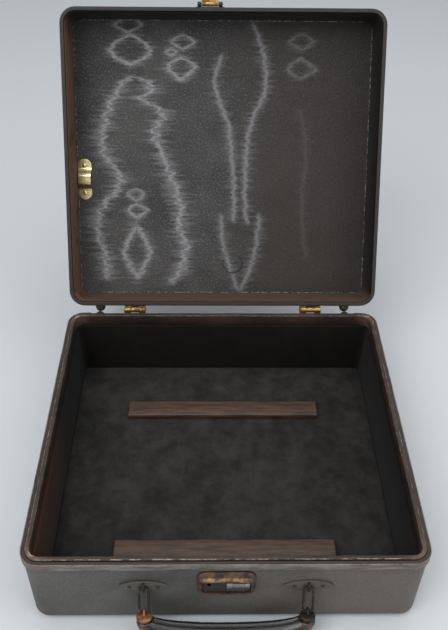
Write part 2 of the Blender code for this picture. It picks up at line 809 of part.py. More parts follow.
def lock_frame(looks, back):
    """The frame round the lock's window, low below and raised to a hood above."""
    outer = lock_outline(lock_width / 2, lock_low, lock_high, lock_corner)
    inner = lock_outline(lock_window_width / 2, lock_window_low, lock_window_high, lock_window_corner,
                         lock_window_arch)

    def rise(z):
        share = (z - lock_window_low) / (lock_window_high - lock_window_low)
        share = min(max(share, 0), 1)
        return lock_rim_rise + (lock_hood_rise - lock_rim_rise) * share ** lock_hood_power

    def between(share):
        return [(a + (c - a) * share, b + (d - b) * share) for (a, b), (c, d) in zip(outer, inner)]

    widths = [((a - c) ** 2 + (b - d) ** 2) ** 0.5 for (a, b), (c, d) in zip(outer, inner)]
    crest_share = 1 - lock_crest_width / max(widths)
    crest = between(crest_share)
    shoulder = between(crest_share / 2)
    edge_out = back + lock_edge_thick
    loops = [
        [front_point(x, back, z) for x, z in outer],
        [front_point(x, edge_out, z) for x, z in outer],
        [front_point(x, edge_out + (rise(z) - edge_out) * sin(pi / 3), z) for x, z in shoulder],
        [front_point(x, rise(z), z) for x, z in crest],
        [front_point(x, rise(z), z) for x, z in inner],
        [front_point(x, back, z) for x, z in inner],
    ]
    bm = bmesh.new()
    skin(bm, loops, closed=True)
    add_object("lock_frame", bm, looks["aged_brass"])


def lock_slide(looks):
    plate_front = seat + lock_plate_thick
    low = plate_front + seat
    top = low + button_thick
    ridge_start = button_left + (button_width - (ridge_count - 1) * ridge_pitch - ridge_pitch / 2) / 2
    outline = [(button_left, low), (button_left, top)]
    for ridge in range(ridge_count):
        x = ridge_start + ridge * ridge_pitch
        outline += [(x, top), (x + ridge_pitch / 8, top + ridge_height),
                    (x + ridge_pitch * 3 / 8, top + ridge_height), (x + ridge_pitch / 2, top)]
    outline += [(button_left + button_width, top), (button_left + button_width, low)]
    bm = bmesh.new()
    levels = (button_low, button_low + button_height)
    skin(bm, [[front_point(x, out, z) for x, out in outline] for z in levels], closed=False)
    button = add_object("slide_button", bm, looks["grey_steel"])
    neck = box_mesh(front_point(neck_left, low + button_thick / 2, neck_low),
                    front_point(neck_left + neck_width, seat, neck_low + neck_height))
    combine(button, add_object("slide_neck", neck, looks["grey_steel"]), "UNION")
    bar_high = bolt_bar_low + bolt_bar_height
    post_right = bolt_post_left + bolt_post_width
    nose_right = post_right + bolt_nose_length
    tab_right = neck_left + neck_width
    nose_high = bolt_nose_low + bolt_nose_height
    outline = (
        (bolt_post_left, bolt_bar_low), (tab_right, bolt_bar_low), (tab_right, bolt_tab_high),
        (neck_left, bolt_tab_high), (neck_left, bar_high), (post_right, bar_high), (post_right, bolt_nose_low),
        (nose_right, bolt_nose_low), (nose_right, nose_high), (bolt_post_left, nose_high),
    )
    bm = bmesh.new()
    front_prism(bm, outline, -bolt_thick, 0)
    add_object("slide_bolt", bm, looks["grey_steel"])
    lock_spring(looks)


def lock_spring(looks):
    """The coil spring that pushes the bolt to the right."""
    left = lug_left + lug_thick + spring_wire + seat
    right = neck_left - spring_wire - seat
    count = spring_turns * spring_turn_steps
    curve = bpy.data.curves.new("lock_spring", "CURVE")
    curve.dimensions = "3D"
    curve.bevel_depth = spring_wire
    curve.bevel_resolution = 1
    curve.use_fill_caps = True
    line = curve.splines.new("POLY")
    line.points.add(count)
    for step in range(count + 1):
        angle = 2 * pi * step / spring_turn_steps
        x = left + (right - left) * step / count
        middle = front_point(x, -spring_depth, spring_z)
        line.points[step].co = (*(middle + Vector((0, sin(angle), cos(angle))) * spring_radius), 1.0)
    curve.materials.append(looks["grey_steel"])
    made = bpy.data.objects.new("lock_spring", curve)
    bpy.context.scene.collection.objects.link(made)


def hasp(looks, lid, pose):
    pin_place = Vector((0, hasp_pin_y, hasp_pin_z))
    swing = empty("hasp_axis", pin_place - hinge_point, pose)
    swing.rotation_euler = (-radians(hasp_lift_degrees), 0, 0)
    half = hasp_width / 2
    back = -hasp_knuckle_radius
    bend_low = -(hasp_straight + hasp_bend)
    tip = -hasp_length
    inward = back + hasp_bend_in
    flat = [
        (inward - hasp_tip_curl, tip, 1 - hasp_tip_round / hasp_width * 2),
        (inward - hasp_tip_curl / 2, tip + hasp_tip_round / 3, 1 - hasp_tip_round / hasp_width / 2),
        (inward, tip + hasp_tip_round, 1), (inward, bend_low, 1), (back, -hasp_straight, 1),
        (back, -hasp_knuckle_radius - seat, 1),
    ]
    strip("hasp", (hasp_centre - half, hasp_centre + half), (0,), flat, ((back, 0),), hasp_knuckle_radius,
          hasp_thick, Vector((0, 1, 0)), Vector((0, 0, 1)), looks["aged_brass"], swing)
    hasp_staple(looks, swing, pin_place, inward + hasp_thick)
    plate_half = hasp_plate_width / 2
    knuckle_out = half + seat + hasp_side_knuckle
    edges = (hasp_centre - plate_half, hasp_centre - knuckle_out, hasp_centre - half - seat,
             hasp_centre + half + seat, hasp_centre + knuckle_out, hasp_centre + plate_half)
    wall = -hasp_pin_out + seat
    flat = ((wall, -hasp_plate_height, 1), (wall, -hasp_knuckle_radius - seat, 1))
    plate = strip("hasp_plate", edges, (1, 3), flat, ((back, 0),), hasp_knuckle_radius, hasp_thick,
                  Vector((0, -1, 0)), Vector((0, 0, -1)), looks["aged_brass"], pose, pin_place - hinge_point)
    spots = [(hasp_centre + side * hasp_rivet_spacing / 2, hasp_rivet_height) for side in (-1, 1)]
    face = front_y - 2 * seat - hasp_thick
    places = [(x, face, hasp_pin_z + rise) for x, rise in spots]
    depth = hasp_thick + cover_thick + lid_ply + lid_wall_lining_thick + 5 * seat
    fasteners("hasp_rivet", ("left", "right"), places, (0, -1, 0),
              headed_profile(rivet_shank, depth, rivet_head, rivet_rise), looks["aged_brass"], pose, -hinge_point)
    local = [Vector(point) - pin_place for point in places]
    drill(plate, local, (0, -1, 0), rivet_shank, hasp_thick + overrun)
    for target in (lid["covering"], lid["walls"], lid["wall_lining"]):
        drill(target, places, (0, -1, 0), rivet_shank, depth + seat)
    pin("hasp_pin", hasp_centre, (knuckle_out + pin_end) * 2, hasp_knuckle_radius - hasp_thick - seat, looks,
        pose, pin_place - hinge_point)


def hasp_staple(looks, swing, pin_place, hasp_back):
    """The staple behind the hasp, with the window that the bolt's nose enters."""
    front = hasp_back + seat
    wall_face = front_face - hasp_pin_y
    outer = (front, wall_face + staple_end, staple_low, staple_low + staple_height)
    inner = (wall_face - staple_hole_front, wall_face + staple_end - staple_wall, staple_low + staple_wall,
             staple_low + staple_height - staple_wall)

    def loop(sides, x):
        near, far, low, high = sides
        corners = ((near, low), (far, low), (far, high), (near, high))
        return [(x, y, z - pin_place.z) for y, z in corners]

    left = hasp_centre - staple_thick / 2
    right = hasp_centre + staple_thick / 2
    bm = bmesh.new()
    skin(bm, [loop(outer, left), loop(outer, right), loop(inner, right), loop(inner, left)], closed=True)
    add_object("hasp_staple", bm, looks["aged_brass"], swing)


def handle_fittings(looks, base):
    depth = plate_thick + cover_thick + base_ply / 2 + 3 * seat
    profile = headed_profile(rivet_shank, depth, nail_head, rivet_rise)
    for side, x in (("left", -plate_spacing / 2), ("right", plate_spacing / 2)):
        outline = []
        for edge in (1, -1):
            for step in range(plate_steps):
                share = step / plate_steps
                along = edge * plate_length / 2 * cos(pi * share)
                outline.append((x + along, plate_z + edge * plate_height / 2 * sin(pi * share) ** plate_point_share))
        bm = bmesh.new()
        front_prism(bm, outline, seat, seat + plate_thick)
        plate = add_object("handle_plate_" + side, bm, looks["dark_steel"])
        path = [front_point(x, -eye_leg, eye_z + eye_radius), front_point(x, -eye_leg / 2, eye_z + eye_radius)]
        crown = seat + plate_thick
        for step in range(arch_steps + 1):
            angle = pi * step / arch_steps
            path.append(front_point(x, crown + eye_radius * sin(angle), eye_z + eye_radius * cos(angle)))
        path += [front_point(x, -eye_leg / 2, eye_z - eye_radius), front_point(x, -eye_leg, eye_z - eye_radius)]
        bm = bmesh.new()
        tube(bm, path, [eye_wire] * len(path), wire_sides, Vector((1, 0, 0)))
        add_object("handle_eye_" + side, bm, looks["bronze"])
        legs = [front_point(x, crown + seat, eye_z + edge * eye_radius) for edge in (-1, 1)]
        spots = [front_point(x + edge * plate_rivet_spread, crown + seat, plate_z) for edge in (-1, 1)]
        drill(plate, legs, (0, -1, 0), eye_wire, plate_thick + overrun, wire_sides)
        drill(plate, spots, (0, -1, 0), rivet_shank, plate_thick + overrun)
        for target in (base["covering"], base["walls"]):
            drill(target, legs, (0, -1, 0), eye_wire, crown + eye_leg + 2 * seat, wire_sides)
            drill(target, spots, (0, -1, 0), rivet_shank, depth + seat)
        fasteners("handle_rivet_" + side, ("outer", "inner") if x < 0 else ("inner", "outer"), spots, (0, -1, 0),
                  profile, looks["dark_steel"])


def handle(looks):
    """Links and grip, modelled level in front of the pin axis, then hung down."""
    swing = empty("handle_axis", Vector((0, swing_y, swing_z)))
    swing.rotation_euler = (hang_angle, 0, 0)
    flat_normal = Vector((0, 0, 1))
    for side, x in (("left", -plate_spacing / 2), ("right", plate_spacing / 2)):
        path = []
        corners = ((1, 0), (-1, 0), (-1, -1), (1, -1))
        for quarter, (x_side, y_side) in enumerate(corners):
            x_centre = x + x_side * (link_width / 2 - link_corner)
            y_centre = -link_corner if y_side == 0 else -link_length + link_corner
            for step in range(link_steps + 1):
                angle = pi / 2 * (quarter + step / link_steps)
                path.append(Vector((x_centre + link_corner * cos(angle), y_centre + link_corner * sin(angle), 0)))
        bm = bmesh.new()
        tube(bm, path, [link_wire] * len(path), wire_sides, flat_normal, closed=True)
        add_object("handle_link_" + side, bm, looks["bronze"], swing)
        bm = bmesh.new()
        profile = ((0, 0), (grip_end_radius - cap_round, 0), (grip_end_radius, cap_round),
                   (grip_end_radius, cap_length), (0, cap_length))
        turned(bm, profile, facing((x, -cap_low, 0), (0, -1, 0)), round_steps)
        cap = add_object("handle_cap_" + side, bm, looks["bronze"], swing)
        ring = []
        for step in range(round_steps):
            angle = 2 * pi * step / round_steps
            ring.append(Vector((x, -link_length + cap_eye_radius * cos(angle), cap_eye_radius * sin(angle))))
        bm = bmesh.new()
        tube(bm, ring, [cap_eye_wire] * len(ring), wire_sides, Vector((1, 0, 0)), closed=True)
        combine(cap, add_object("cap_eye_" + side, bm, looks["bronze"], swing), "UNION")
    path, radii = grip_path(grip_end + seat)
    bm = bmesh.new()
    tube(bm, path, radii, grip_sides, flat_normal, hollow=leather_thick)
    add_object("handle_leather", bm, looks["leather"], swing)
    bm = bmesh.new()
    tube(bm, path, [radius - leather_thick - seat for radius in radii], grip_sides, flat_normal)
    add_object("handle_core", bm, looks["wood"], swing)


def grip_path(end):
    """The grip's middle line from left to right, and its radius along it."""
    half = plate_spacing / 2
    lead = Vector((-half, -end, 0))
    start = Vector((-half, -end - grip_lead, 0))
    pull = Vector((-half, -end - grip_lead - grip_end_pull, 0))
    rest, middle = Vector((-grip_mid_pull, -grip_reach, 0)), Vector((0, -grip_reach, 0))
    left, radii = [lead], [grip_end_radius]
    for step in range(grip_steps + 1):
        t = step / grip_steps
        s = 1 - t
        left.append(start * s ** 3 + pull * 3 * s * s * t + rest * 3 * s * t * t + middle * t ** 3)
        radii.append(grip_end_radius + (grip_mid_radius - grip_end_radius) * sin(pi / 2 * t))
    right = [Vector((-point.x, point.y, 0)) for point in left[-2::-1]]
    return left + right, radii + radii[-2::-1]


def lining_fittings(looks, lid, pose):
    place = {"parent": pose, "place": -hinge_point}
    low = lid_lining_low
    half = strap_width / 2
    tip = half / 2
    raised = seat + strap_rise
    end_share, round_share = strap_end_shares
    marks = [
        (seat, 0, end_share), (seat, tip / 3, round_share), (seat, tip, 1), (seat, strap_foot, 1),
        (raised, strap_foot + strap_ramp, strap_waist_share),
    ]
    flat = [(-(low - rise), along, share) for rise, along, share in marks]
    flat += [(across, strap_length - along, share) for across, along, share in flat[::-1]]
    edges = (strap_centre_x - half, strap_centre_x + half)
    strap = strip("brush_strap", edges, (), flat, (), 0, strap_thick, Vector((0, 0, -1)), Vector((0, 1, 0)),
                  looks["brass"], pose, Vector((0, strap_low_y, 0)) - hinge_point)
    ends = (strap_low_y + strap_rivet_inset, strap_low_y + strap_length - strap_rivet_inset)
    head_z = low - 2 * seat - strap_thick
    places = [Vector((strap_centre_x, y, head_z)) for y in ends]
    depth = strap_thick + lid_top_lining_thick + lid_board_thick / 2 + 4 * seat
    fasteners("strap_rivet", ("lower", "upper"), places, (0, 0, -1),
              headed_profile(rivet_shank, depth, strap_rivet_head, rivet_rise), looks["brass"], **place)
    drill(strap, [p - Vector((0, strap_low_y, 0)) for p in places], (0, 0, -1), rivet_shank,
          strap_thick + overrun)
    for target in (lid["lining"], lid["board"]):
        drill(target, places, (0, 0, -1), rivet_shank, depth + seat)
    bm = bmesh.new()
    profile = ((0, 0), (disc_radius, 0), (disc_radius, disc_edge), (disc_radius - disc_edge, disc_rise - disc_edge / 2),
               (disc_radius / 2, disc_rise), (0, disc_rise))
    turned(bm, profile, facing((disc_x, disc_y, low - seat), (0, 0, -1)), round_steps)
    add_object("lining_disc", bm, looks["moire"], **place)


def build():
    clear_scene()
    looks = finishes()
    pose = empty("lid_axis", hinge_point)
    pose.rotation_euler = (-radians(lid_open_degrees), 0, 0)
    base = base_body(looks)
    lid = lid_body(looks, pose)
    battens(looks)
    glides(looks, base)
    studs(looks, base, lid, pose)
    hinges(looks, pose)
    lock_case(looks, base)
    lock_slide(looks)
    hasp(looks, lid, pose)
    handle_fittings(looks, base)
    handle(looks)
    lining_fittings(looks, lid, pose)


build()
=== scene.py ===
import json
import random
from math import asin, cos, pi, radians, sin

import bpy
from mathutils import Matrix, Vector


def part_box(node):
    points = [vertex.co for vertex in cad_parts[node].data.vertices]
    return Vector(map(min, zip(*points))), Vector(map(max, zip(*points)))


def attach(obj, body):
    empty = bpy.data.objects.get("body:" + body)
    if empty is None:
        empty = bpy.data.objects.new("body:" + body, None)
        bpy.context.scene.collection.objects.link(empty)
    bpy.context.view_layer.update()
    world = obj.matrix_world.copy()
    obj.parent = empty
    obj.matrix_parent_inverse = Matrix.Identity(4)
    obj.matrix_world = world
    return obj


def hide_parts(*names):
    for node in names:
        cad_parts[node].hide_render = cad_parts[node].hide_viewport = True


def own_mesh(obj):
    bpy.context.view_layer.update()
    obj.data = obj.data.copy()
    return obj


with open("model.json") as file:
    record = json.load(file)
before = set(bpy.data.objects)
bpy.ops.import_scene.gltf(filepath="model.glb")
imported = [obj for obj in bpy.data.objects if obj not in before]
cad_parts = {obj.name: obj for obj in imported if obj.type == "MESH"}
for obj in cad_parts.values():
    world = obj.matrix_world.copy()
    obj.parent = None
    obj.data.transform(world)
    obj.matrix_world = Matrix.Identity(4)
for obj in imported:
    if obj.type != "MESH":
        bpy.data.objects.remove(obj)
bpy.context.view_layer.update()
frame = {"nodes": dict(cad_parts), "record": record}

nodes = frame["nodes"]
nodeBody = {node: body for body, members in frame["record"]["behaviour"]["bodies"].items() for node in members}
print("frame loaded:", len(nodes), "nodes")

# The whole case, as the frame has it
case = {
    "halfWidth": 0.1650,
    "halfDepth": 0.1525,
    "lidTop": 0.1364,
    "hingeY": 0.1567,
    "hingeZ": 0.0822,
    "lidOpen": radians(118.4),
    "corner": 0.0160,
}
hingePoint = Vector((0, case["hingeY"], case["hingeZ"]))
toHinge = Matrix.Translation(hingePoint)
openTurn = toHinge @ Matrix.Rotation(-case["lidOpen"], 4, "X") @ toHinge.inverted()

# The photograph's camera, and a ray through one of its pixels
cameraSettings = {
    "place": Vector((-0.01281, -0.48555, 0.62961)),
    "pitch": radians(40.83),
    "yaw": radians(1.28),
    "roll": radians(0.91),
    "lens": 44.42,
    "sensor": 36.0,
    "frameWide": 448,
    "frameHigh": 630,
}


def cameraAxes():
    s = cameraSettings
    forward = Vector((sin(s["yaw"]) * cos(s["pitch"]), cos(s["yaw"]) * cos(s["pitch"]), -sin(s["pitch"])))
    level = Vector((cos(s["yaw"]), -sin(s["yaw"]), 0))
    upright = level.cross(forward)
    right = level * cos(s["roll"]) + upright * sin(s["roll"])
    up = upright * cos(s["roll"]) - level * sin(s["roll"])
    return right, up, forward


def addCamera():
    right, up, forward = cameraAxes()
    data = bpy.data.cameras.new("photoCamera")
    data.lens = cameraSettings["lens"]
    data.sensor_width = cameraSettings["sensor"]
    camera = bpy.data.objects.new("photoCamera", data)
    turn = Matrix((right, up, -forward)).transposed().to_4x4()
    camera.matrix_world = Matrix.Translation(cameraSettings["place"]) @ turn
    bpy.context.scene.collection.objects.link(camera)
    bpy.context.scene.camera = camera


# Where a pixel's ray meets the lid's lining, in the shut lid's coordinates.
def liningPoint(pixel):
    s = cameraSettings
    right, up, forward = cameraAxes()
    focal = s["lens"] / s["sensor"] * s["frameHigh"]
    across, down = pixel[0] - s["frameWide"] / 2, pixel[1] - s["frameHigh"] / 2
    ray = forward + right * (across / focal) - up * (down / focal)
    shut = openTurn.inverted()
    start = shut @ s["place"]
    along = shut.to_3x3() @ ray
    reach = (liningSettings["face"] - start.z) / along.z
    return start + along * reach


# A photographed colour, 0 to 255, as Blender's linear values.
def colour(red, green, blue):
    def linear(value):
        value /= 255
        return value / 12.92 if value <= 0.04045 else ((value + 0.055) / 1.055) ** 2.4
    return (linear(red), linear(green), linear(blue), 1.0)


# Picking and finishing pieces

def enter(mode):
    bpy.ops.object.mode_set(mode=mode)


def drop():
    if bpy.context.object and bpy.context.object.mode != "OBJECT":
        enter("OBJECT")
    bpy.ops.object.select_all(action="DESELECT")


def pick(piece):
    drop()
    piece.select_set(True)
    bpy.context.view_layer.objects.active = piece


def applyModifiers(piece):
    pick(piece)
    for change in list(piece.modifiers):
        bpy.ops.object.modifier_apply(modifier=change.name)


# Select the edges or faces that the test picks out, and stay in edit mode.
def choose(piece, kind, test):
    pick(piece)
    enter("EDIT")
    bpy.ops.mesh.select_mode(type=kind)
    bpy.ops.mesh.select_all(action="DESELECT")
    enter("OBJECT")
    for part in (piece.data.edges if kind == "EDGE" else piece.data.polygons):
        part.select = test(part)
    enter("EDIT")


def settle(piece):
    pick(piece)
    bpy.ops.object.transform_apply(location=True, rotation=True, scale=True)


def smooth(piece, angle=35):
    pick(piece)
    bpy.ops.object.shade_smooth_by_angle(angle=radians(angle))


# Give a finished piece its material and body.
def hand(piece, material, body, slotName, *replaced):
    piece.data.materials.clear()
    piece.data.materials.append(material)
    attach(piece, body)
    if replaced:
        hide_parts(*replaced)
    drop()
    return piece


# Turn a piece that was modelled with the lid shut.
def turnOpen(piece):
    piece.matrix_world = openTurn @ piece.matrix_world
    settle(piece)


# A copy of a frame node with its loose triangles merged.
def cleanCopy(node, name):
    piece = bpy.data.objects.new(name, nodes[node].data.copy())
    bpy.context.scene.collection.objects.link(piece)
    pick(piece)
    enter("EDIT")
    bpy.ops.mesh.select_all(action="SELECT")
    bpy.ops.mesh.remove_doubles(threshold=0.00001)
    bpy.ops.mesh.tris_convert_to_quads(face_threshold=radians(1), shape_threshold=radians(60))
    enter("OBJECT")
    return piece


# A clean copy with rounded edges.
def softened(node, name, width, segments=2, angle=30):
    piece = cleanCopy(node, name)
    rounding = piece.modifiers.new("rounding", "BEVEL")
    rounding.width = width
    rounding.segments = segments
    rounding.limit_method = "ANGLE"
    rounding.angle_limit = radians(angle)
    rounding.use_clamp_overlap = True
    applyModifiers(piece)
    smooth(piece, 40)
    return piece


# Shader helpers

def addNode(tree, kind, **values):
    node = tree.nodes.new(kind)
    for key, value in values.items():
        setattr(node, key, value)
    return node


# Give a socket a number or colour of its own, or a link from another socket.
def feed(tree, socket, value):
    if isinstance(value, (int, float, tuple)):
        socket.default_value = value
    else:
        tree.links.new(value, socket)


def math(tree, operation, first, second=None, clamp=False):
    node = addNode(tree, "ShaderNodeMath", operation=operation, use_clamp=clamp)
    feed(tree, node.inputs[0], first)
    if second is not None:
        feed(tree, node.inputs[1], second)
    return node.outputs[0]


def plus(tree, first, second):
    return math(tree, "ADD", first, second)


def minus(tree, first, second):
    return math(tree, "SUBTRACT", first, second)


def times(tree, first, second, clamp=False):
    return math(tree, "MULTIPLY", first, second, clamp)


def flip(tree, value):
    return minus(tree, 1.0, value)


# How far in from the edge a place is, on a piece of the given half width.
def fromEdge(tree, half, across):
    return minus(tree, half, math(tree, "ABSOLUTE", across))


def parts(tree, vector):
    node = addNode(tree, "ShaderNodeSeparateXYZ")
    tree.links.new(vector, node.inputs[0])
    return node.outputs


def stretched(tree, vector, scale):
    node = addNode(tree, "ShaderNodeMapping")
    node.inputs["Scale"].default_value = scale
    tree.links.new(vector, node.inputs["Vector"])
    return node.outputs["Vector"]


# 0 below low, 1 above high, smooth between.
def ramp(tree, value, low, high):
    node = addNode(tree, "ShaderNodeMapRange", interpolation_type="SMOOTHSTEP")
    for label, number in (("Value", value), ("From Min", low), ("From Max", high)):
        feed(tree, node.inputs[label], number)
    return node.outputs["Result"]


def blendColour(tree, share, first, second):
    node = addNode(tree, "ShaderNodeMix", data_type="RGBA")
    tree.links.new(share, node.inputs["Factor"])
    feed(tree, node.inputs[6], first)
    feed(tree, node.inputs[7], second)
    return node.outputs[2]


# Darken a leather's colour in the creases of its grain.
def creased(tree, grain, share, shade, pore):
    return blendColour(tree, times(tree, flip(tree, grain["Height"]), share), shade, pore)


def noise(tree, vector, scale, detail=3.0, roughness=0.5):
    node = addNode(tree, "ShaderNodeTexNoise")
    for label, value in (("Vector", vector), ("Scale", scale), ("Detail", detail), ("Roughness", roughness)):
        feed(tree, node.inputs[label], value)
    return node.outputs["Fac"]


# Noise around 0, to make a line ragged.
def uneven(tree, vector, scale, detail, roughness, amount):
    return times(tree, minus(tree, noise(tree, vector, scale, detail, roughness), 0.5), amount)


def newGroup(name, inputs, outputs):
    tree = bpy.data.node_groups.new(name, "ShaderNodeTree")
    for label, kind, value in inputs:
        socket = tree.interface.new_socket(name=label, in_out="INPUT", socket_type="NodeSocket" + kind)
        if value is not None:
            socket.default_value = value
    for label, kind in outputs:
        tree.interface.new_socket(name=label, in_out="OUTPUT", socket_type="NodeSocket" + kind)
    return tree, tree.nodes.new("NodeGroupInput").outputs, tree.nodes.new("NodeGroupOutput").inputs


# Pebbled leatherette: creased cells with finer pores.
def grainGroup():
    tree, given, result = newGroup("leatherGrain", [("Vector", "Vector", None), ("Scale", "Float", 900.0)],
                                   [("Height", "Float"), ("Fleck", "Float"), ("Cloud", "Float")])
    cells = addNode(tree, "ShaderNodeTexVoronoi", feature="DISTANCE_TO_EDGE")
    tree.links.new(given["Vector"], cells.inputs["Vector"])
    tree.links.new(given["Scale"], cells.inputs["Scale"])
    creases = ramp(tree, cells.outputs["Distance"], 0.0, 0.18)
    pores = noise(tree, given["Vector"], times(tree, given["Scale"], 2.3), 4.0, 0.6)
    height = plus(tree, times(tree, creases, 0.65), times(tree, pores, 0.35))
    # Pale flecks in the grain, partly painted glints on its pebbles.
    fleck = ramp(tree, noise(tree, given["Vector"], times(tree, given["Scale"], 0.9),
                             2.0, 0.7), 0.52, 0.70)
    cloud = noise(tree, given["Vector"], times(tree, given["Scale"], 0.03), 5.0, 0.6)
    tree.links.new(height, result["Height"])
    tree.links.new(fleck, result["Fleck"])
    tree.links.new(cloud, result["Cloud"])
    return tree


# Wear near the edges of a box of the given half sizes, between two heights.
def edgeWearGroup():
    tree, given, result = newGroup("edgeWear", [
        ("Vector", "Vector", None), ("Half Width", "Float", 0.165), ("Half Depth", "Float", 0.1525),
        ("Low", "Float", 0.0), ("High", "Float", 0.08), ("Reach", "Float", 0.006), ("Ragged", "Float", 0.006),
    ], [("Mask", "Float")])
    split = parts(tree, given["Vector"])
    side = fromEdge(tree, given["Half Width"], split["X"])
    front = fromEdge(tree, given["Half Depth"], split["Y"])
    low = minus(tree, split["Z"], given["Low"])
    high = minus(tree, given["High"], split["Z"])
    level = math(tree, "MINIMUM", low, high)
    nearer = math(tree, "MINIMUM", side, front)
    further = math(tree, "MAXIMUM", side, front)
    edge = math(tree, "MAXIMUM", nearer, math(tree, "MINIMUM", further, level))
    ragged = minus(tree, noise(tree, given["Vector"], 90.0, 6.0, 0.65), 0.5)
    edge = plus(tree, edge, times(tree, ragged, given["Ragged"]))
    share = math(tree, "DIVIDE", edge, given["Reach"])
    mask = flip(tree, ramp(tree, share, 0.25, 1.0))
    flaking = ramp(tree, noise(tree, given["Vector"], 420.0, 5.0, 0.7), 0.40, 0.58)
    tree.links.new(times(tree, mask, flaking, clamp=True), result["Mask"])
    return tree


# Plain woven cloth: two crossed sets of threads under a light nap.
def weaveGroup():
    tree, given, result = newGroup("clothWeave", [("Vector", "Vector", None), ("Threads", "Float", 1800.0)],
                                   [("Height", "Float"), ("Tone", "Float")])
    waves = []
    for axis in ("X", "Y"):
        wave = addNode(tree, "ShaderNodeTexWave", bands_direction=axis)
        wave.inputs["Distortion"].default_value = 1.4
        wave.inputs["Detail"].default_value = 1.0
        wave.inputs["Detail Scale"].default_value = 2.0
        tree.links.new(given["Vector"], wave.inputs["Vector"])
        tree.links.new(math(tree, "DIVIDE", given["Threads"], 6.2832), wave.inputs["Scale"])
        waves.append(wave.outputs["Fac"])
    crossed = math(tree, "MAXIMUM", waves[0], waves[1])
    nap = noise(tree, given["Vector"], 1400.0, 4.0, 0.7)
    tree.links.new(plus(tree, times(tree, crossed, 0.5), times(tree, nap, 0.5)),
                   result["Height"])
    tree.links.new(noise(tree, given["Vector"], 45.0, 6.0, 0.7), result["Tone"])
    return tree


# Tarnish in patches, with scratches where hands have rubbed the metal bright.
def patinaGroup():
    tree, given, result = newGroup("metalPatina", [("Vector", "Vector", None), ("Scale", "Float", 120.0),
                                                   ("Amount", "Float", 0.5)],
                                   [("Mask", "Float"), ("Scratch", "Float")])
    patches = noise(tree, given["Vector"], given["Scale"], 8.0, 0.65)
    low = minus(tree, 0.85, given["Amount"])
    high = plus(tree, low, 0.18)
    tree.links.new(ramp(tree, patches, low, high), result["Mask"])
    stretch = stretched(tree, given["Vector"], (0.25, 1.0, 2.2))
    tree.links.new(ramp(tree, noise(tree, stretch, 900.0, 6.0, 0.75), 0.55, 0.72),
                   result["Scratch"])
    return tree


groups = {
    "leatherGrain": grainGroup(),
    "edgeWear": edgeWearGroup(),
    "clothWeave": weaveGroup(),
    "metalPatina": patinaGroup(),
}


# A group node whose inputs are numbers or sockets. An underline in a name stands for a space.
def useGroup(tree, name, **inputs):
    node = addNode(tree, "ShaderNodeGroup", node_tree=groups[name])
    for key, value in inputs.items():
        feed(tree, node.inputs[key.replace("_", " ")], value)
    return node.outputs


# A material, its shader, and the vector that its patterns follow.
def startMaterial(name, shutLid=False):
    material = bpy.data.materials.new(name)
    material.use_nodes = True
    tree = material.node_tree
    shader = tree.nodes["Principled BSDF"]
    place = addNode(tree, "ShaderNodeTexCoord").outputs["Object"]
    if shutLid:
        shut = addNode(tree, "ShaderNodeMapping")
        back = openTurn.inverted()
        shut.inputs["Rotation"].default_value = (case["lidOpen"], 0, 0)
        shut.inputs["Location"].default_value = back.to_translation()
        tree.links.new(place, shut.inputs["Vector"])
        place = shut.outputs["Vector"]
    return material, tree, shader, place


def addBump(tree, shader, height, strength, distance):
    bump = addNode(tree, "ShaderNodeBump")
    bump.inputs["Strength"].default_value = strength
    bump.inputs["Distance"].default_value = distance
    tree.links.new(height, bump.inputs["Height"])
    tree.links.new(bump.outputs["Normal"], shader.inputs["Normal"])


# Materials

# The lid's watered lining, in the shut lid's coordinates
liningSettings = {
    "face": 0.1308,
    "halfWidth": 0.1599,
    "halfDepth": 0.1474,
    "thick": 0.0008,
    "corner": 0.0080,
    "spacing": 0.0050,
    "bulge": 0.0003,
}


leatherette = {
    "dark": colour(72, 71, 67),
    "light": colour(102, 100, 95),
    "warm": colour(112, 102, 94),
    "fleck": colour(142, 138, 130),
    "pore": colour(36, 33, 31),
    "worn": colour(124, 96, 80),
    # colour of the painted shadow on the ledge where the covering turns over the wall's edge
    "ledge": colour(42, 35, 31),
    "roughness": (0.40, 0.62),
    "grain": 720.0,
    "drift": 0.16,
    "warmFrom": (0.02, 0.20),
    "warmShare": 0.8,
    "poreShare": 0.70,
    "fleckGlintShare": 0.28,
    "ledgeShadeShare": 0.85,
    "bump": (0.8, 0.0004),
}
lidLeatherette = dict(leatherette, dark=colour(28, 27, 25), light=colour(48, 46, 43), warm=colour(46, 42, 38),
                      fleck=colour(86, 83, 78), worn=colour(96, 86, 76), ledge=colour(40, 37, 34))
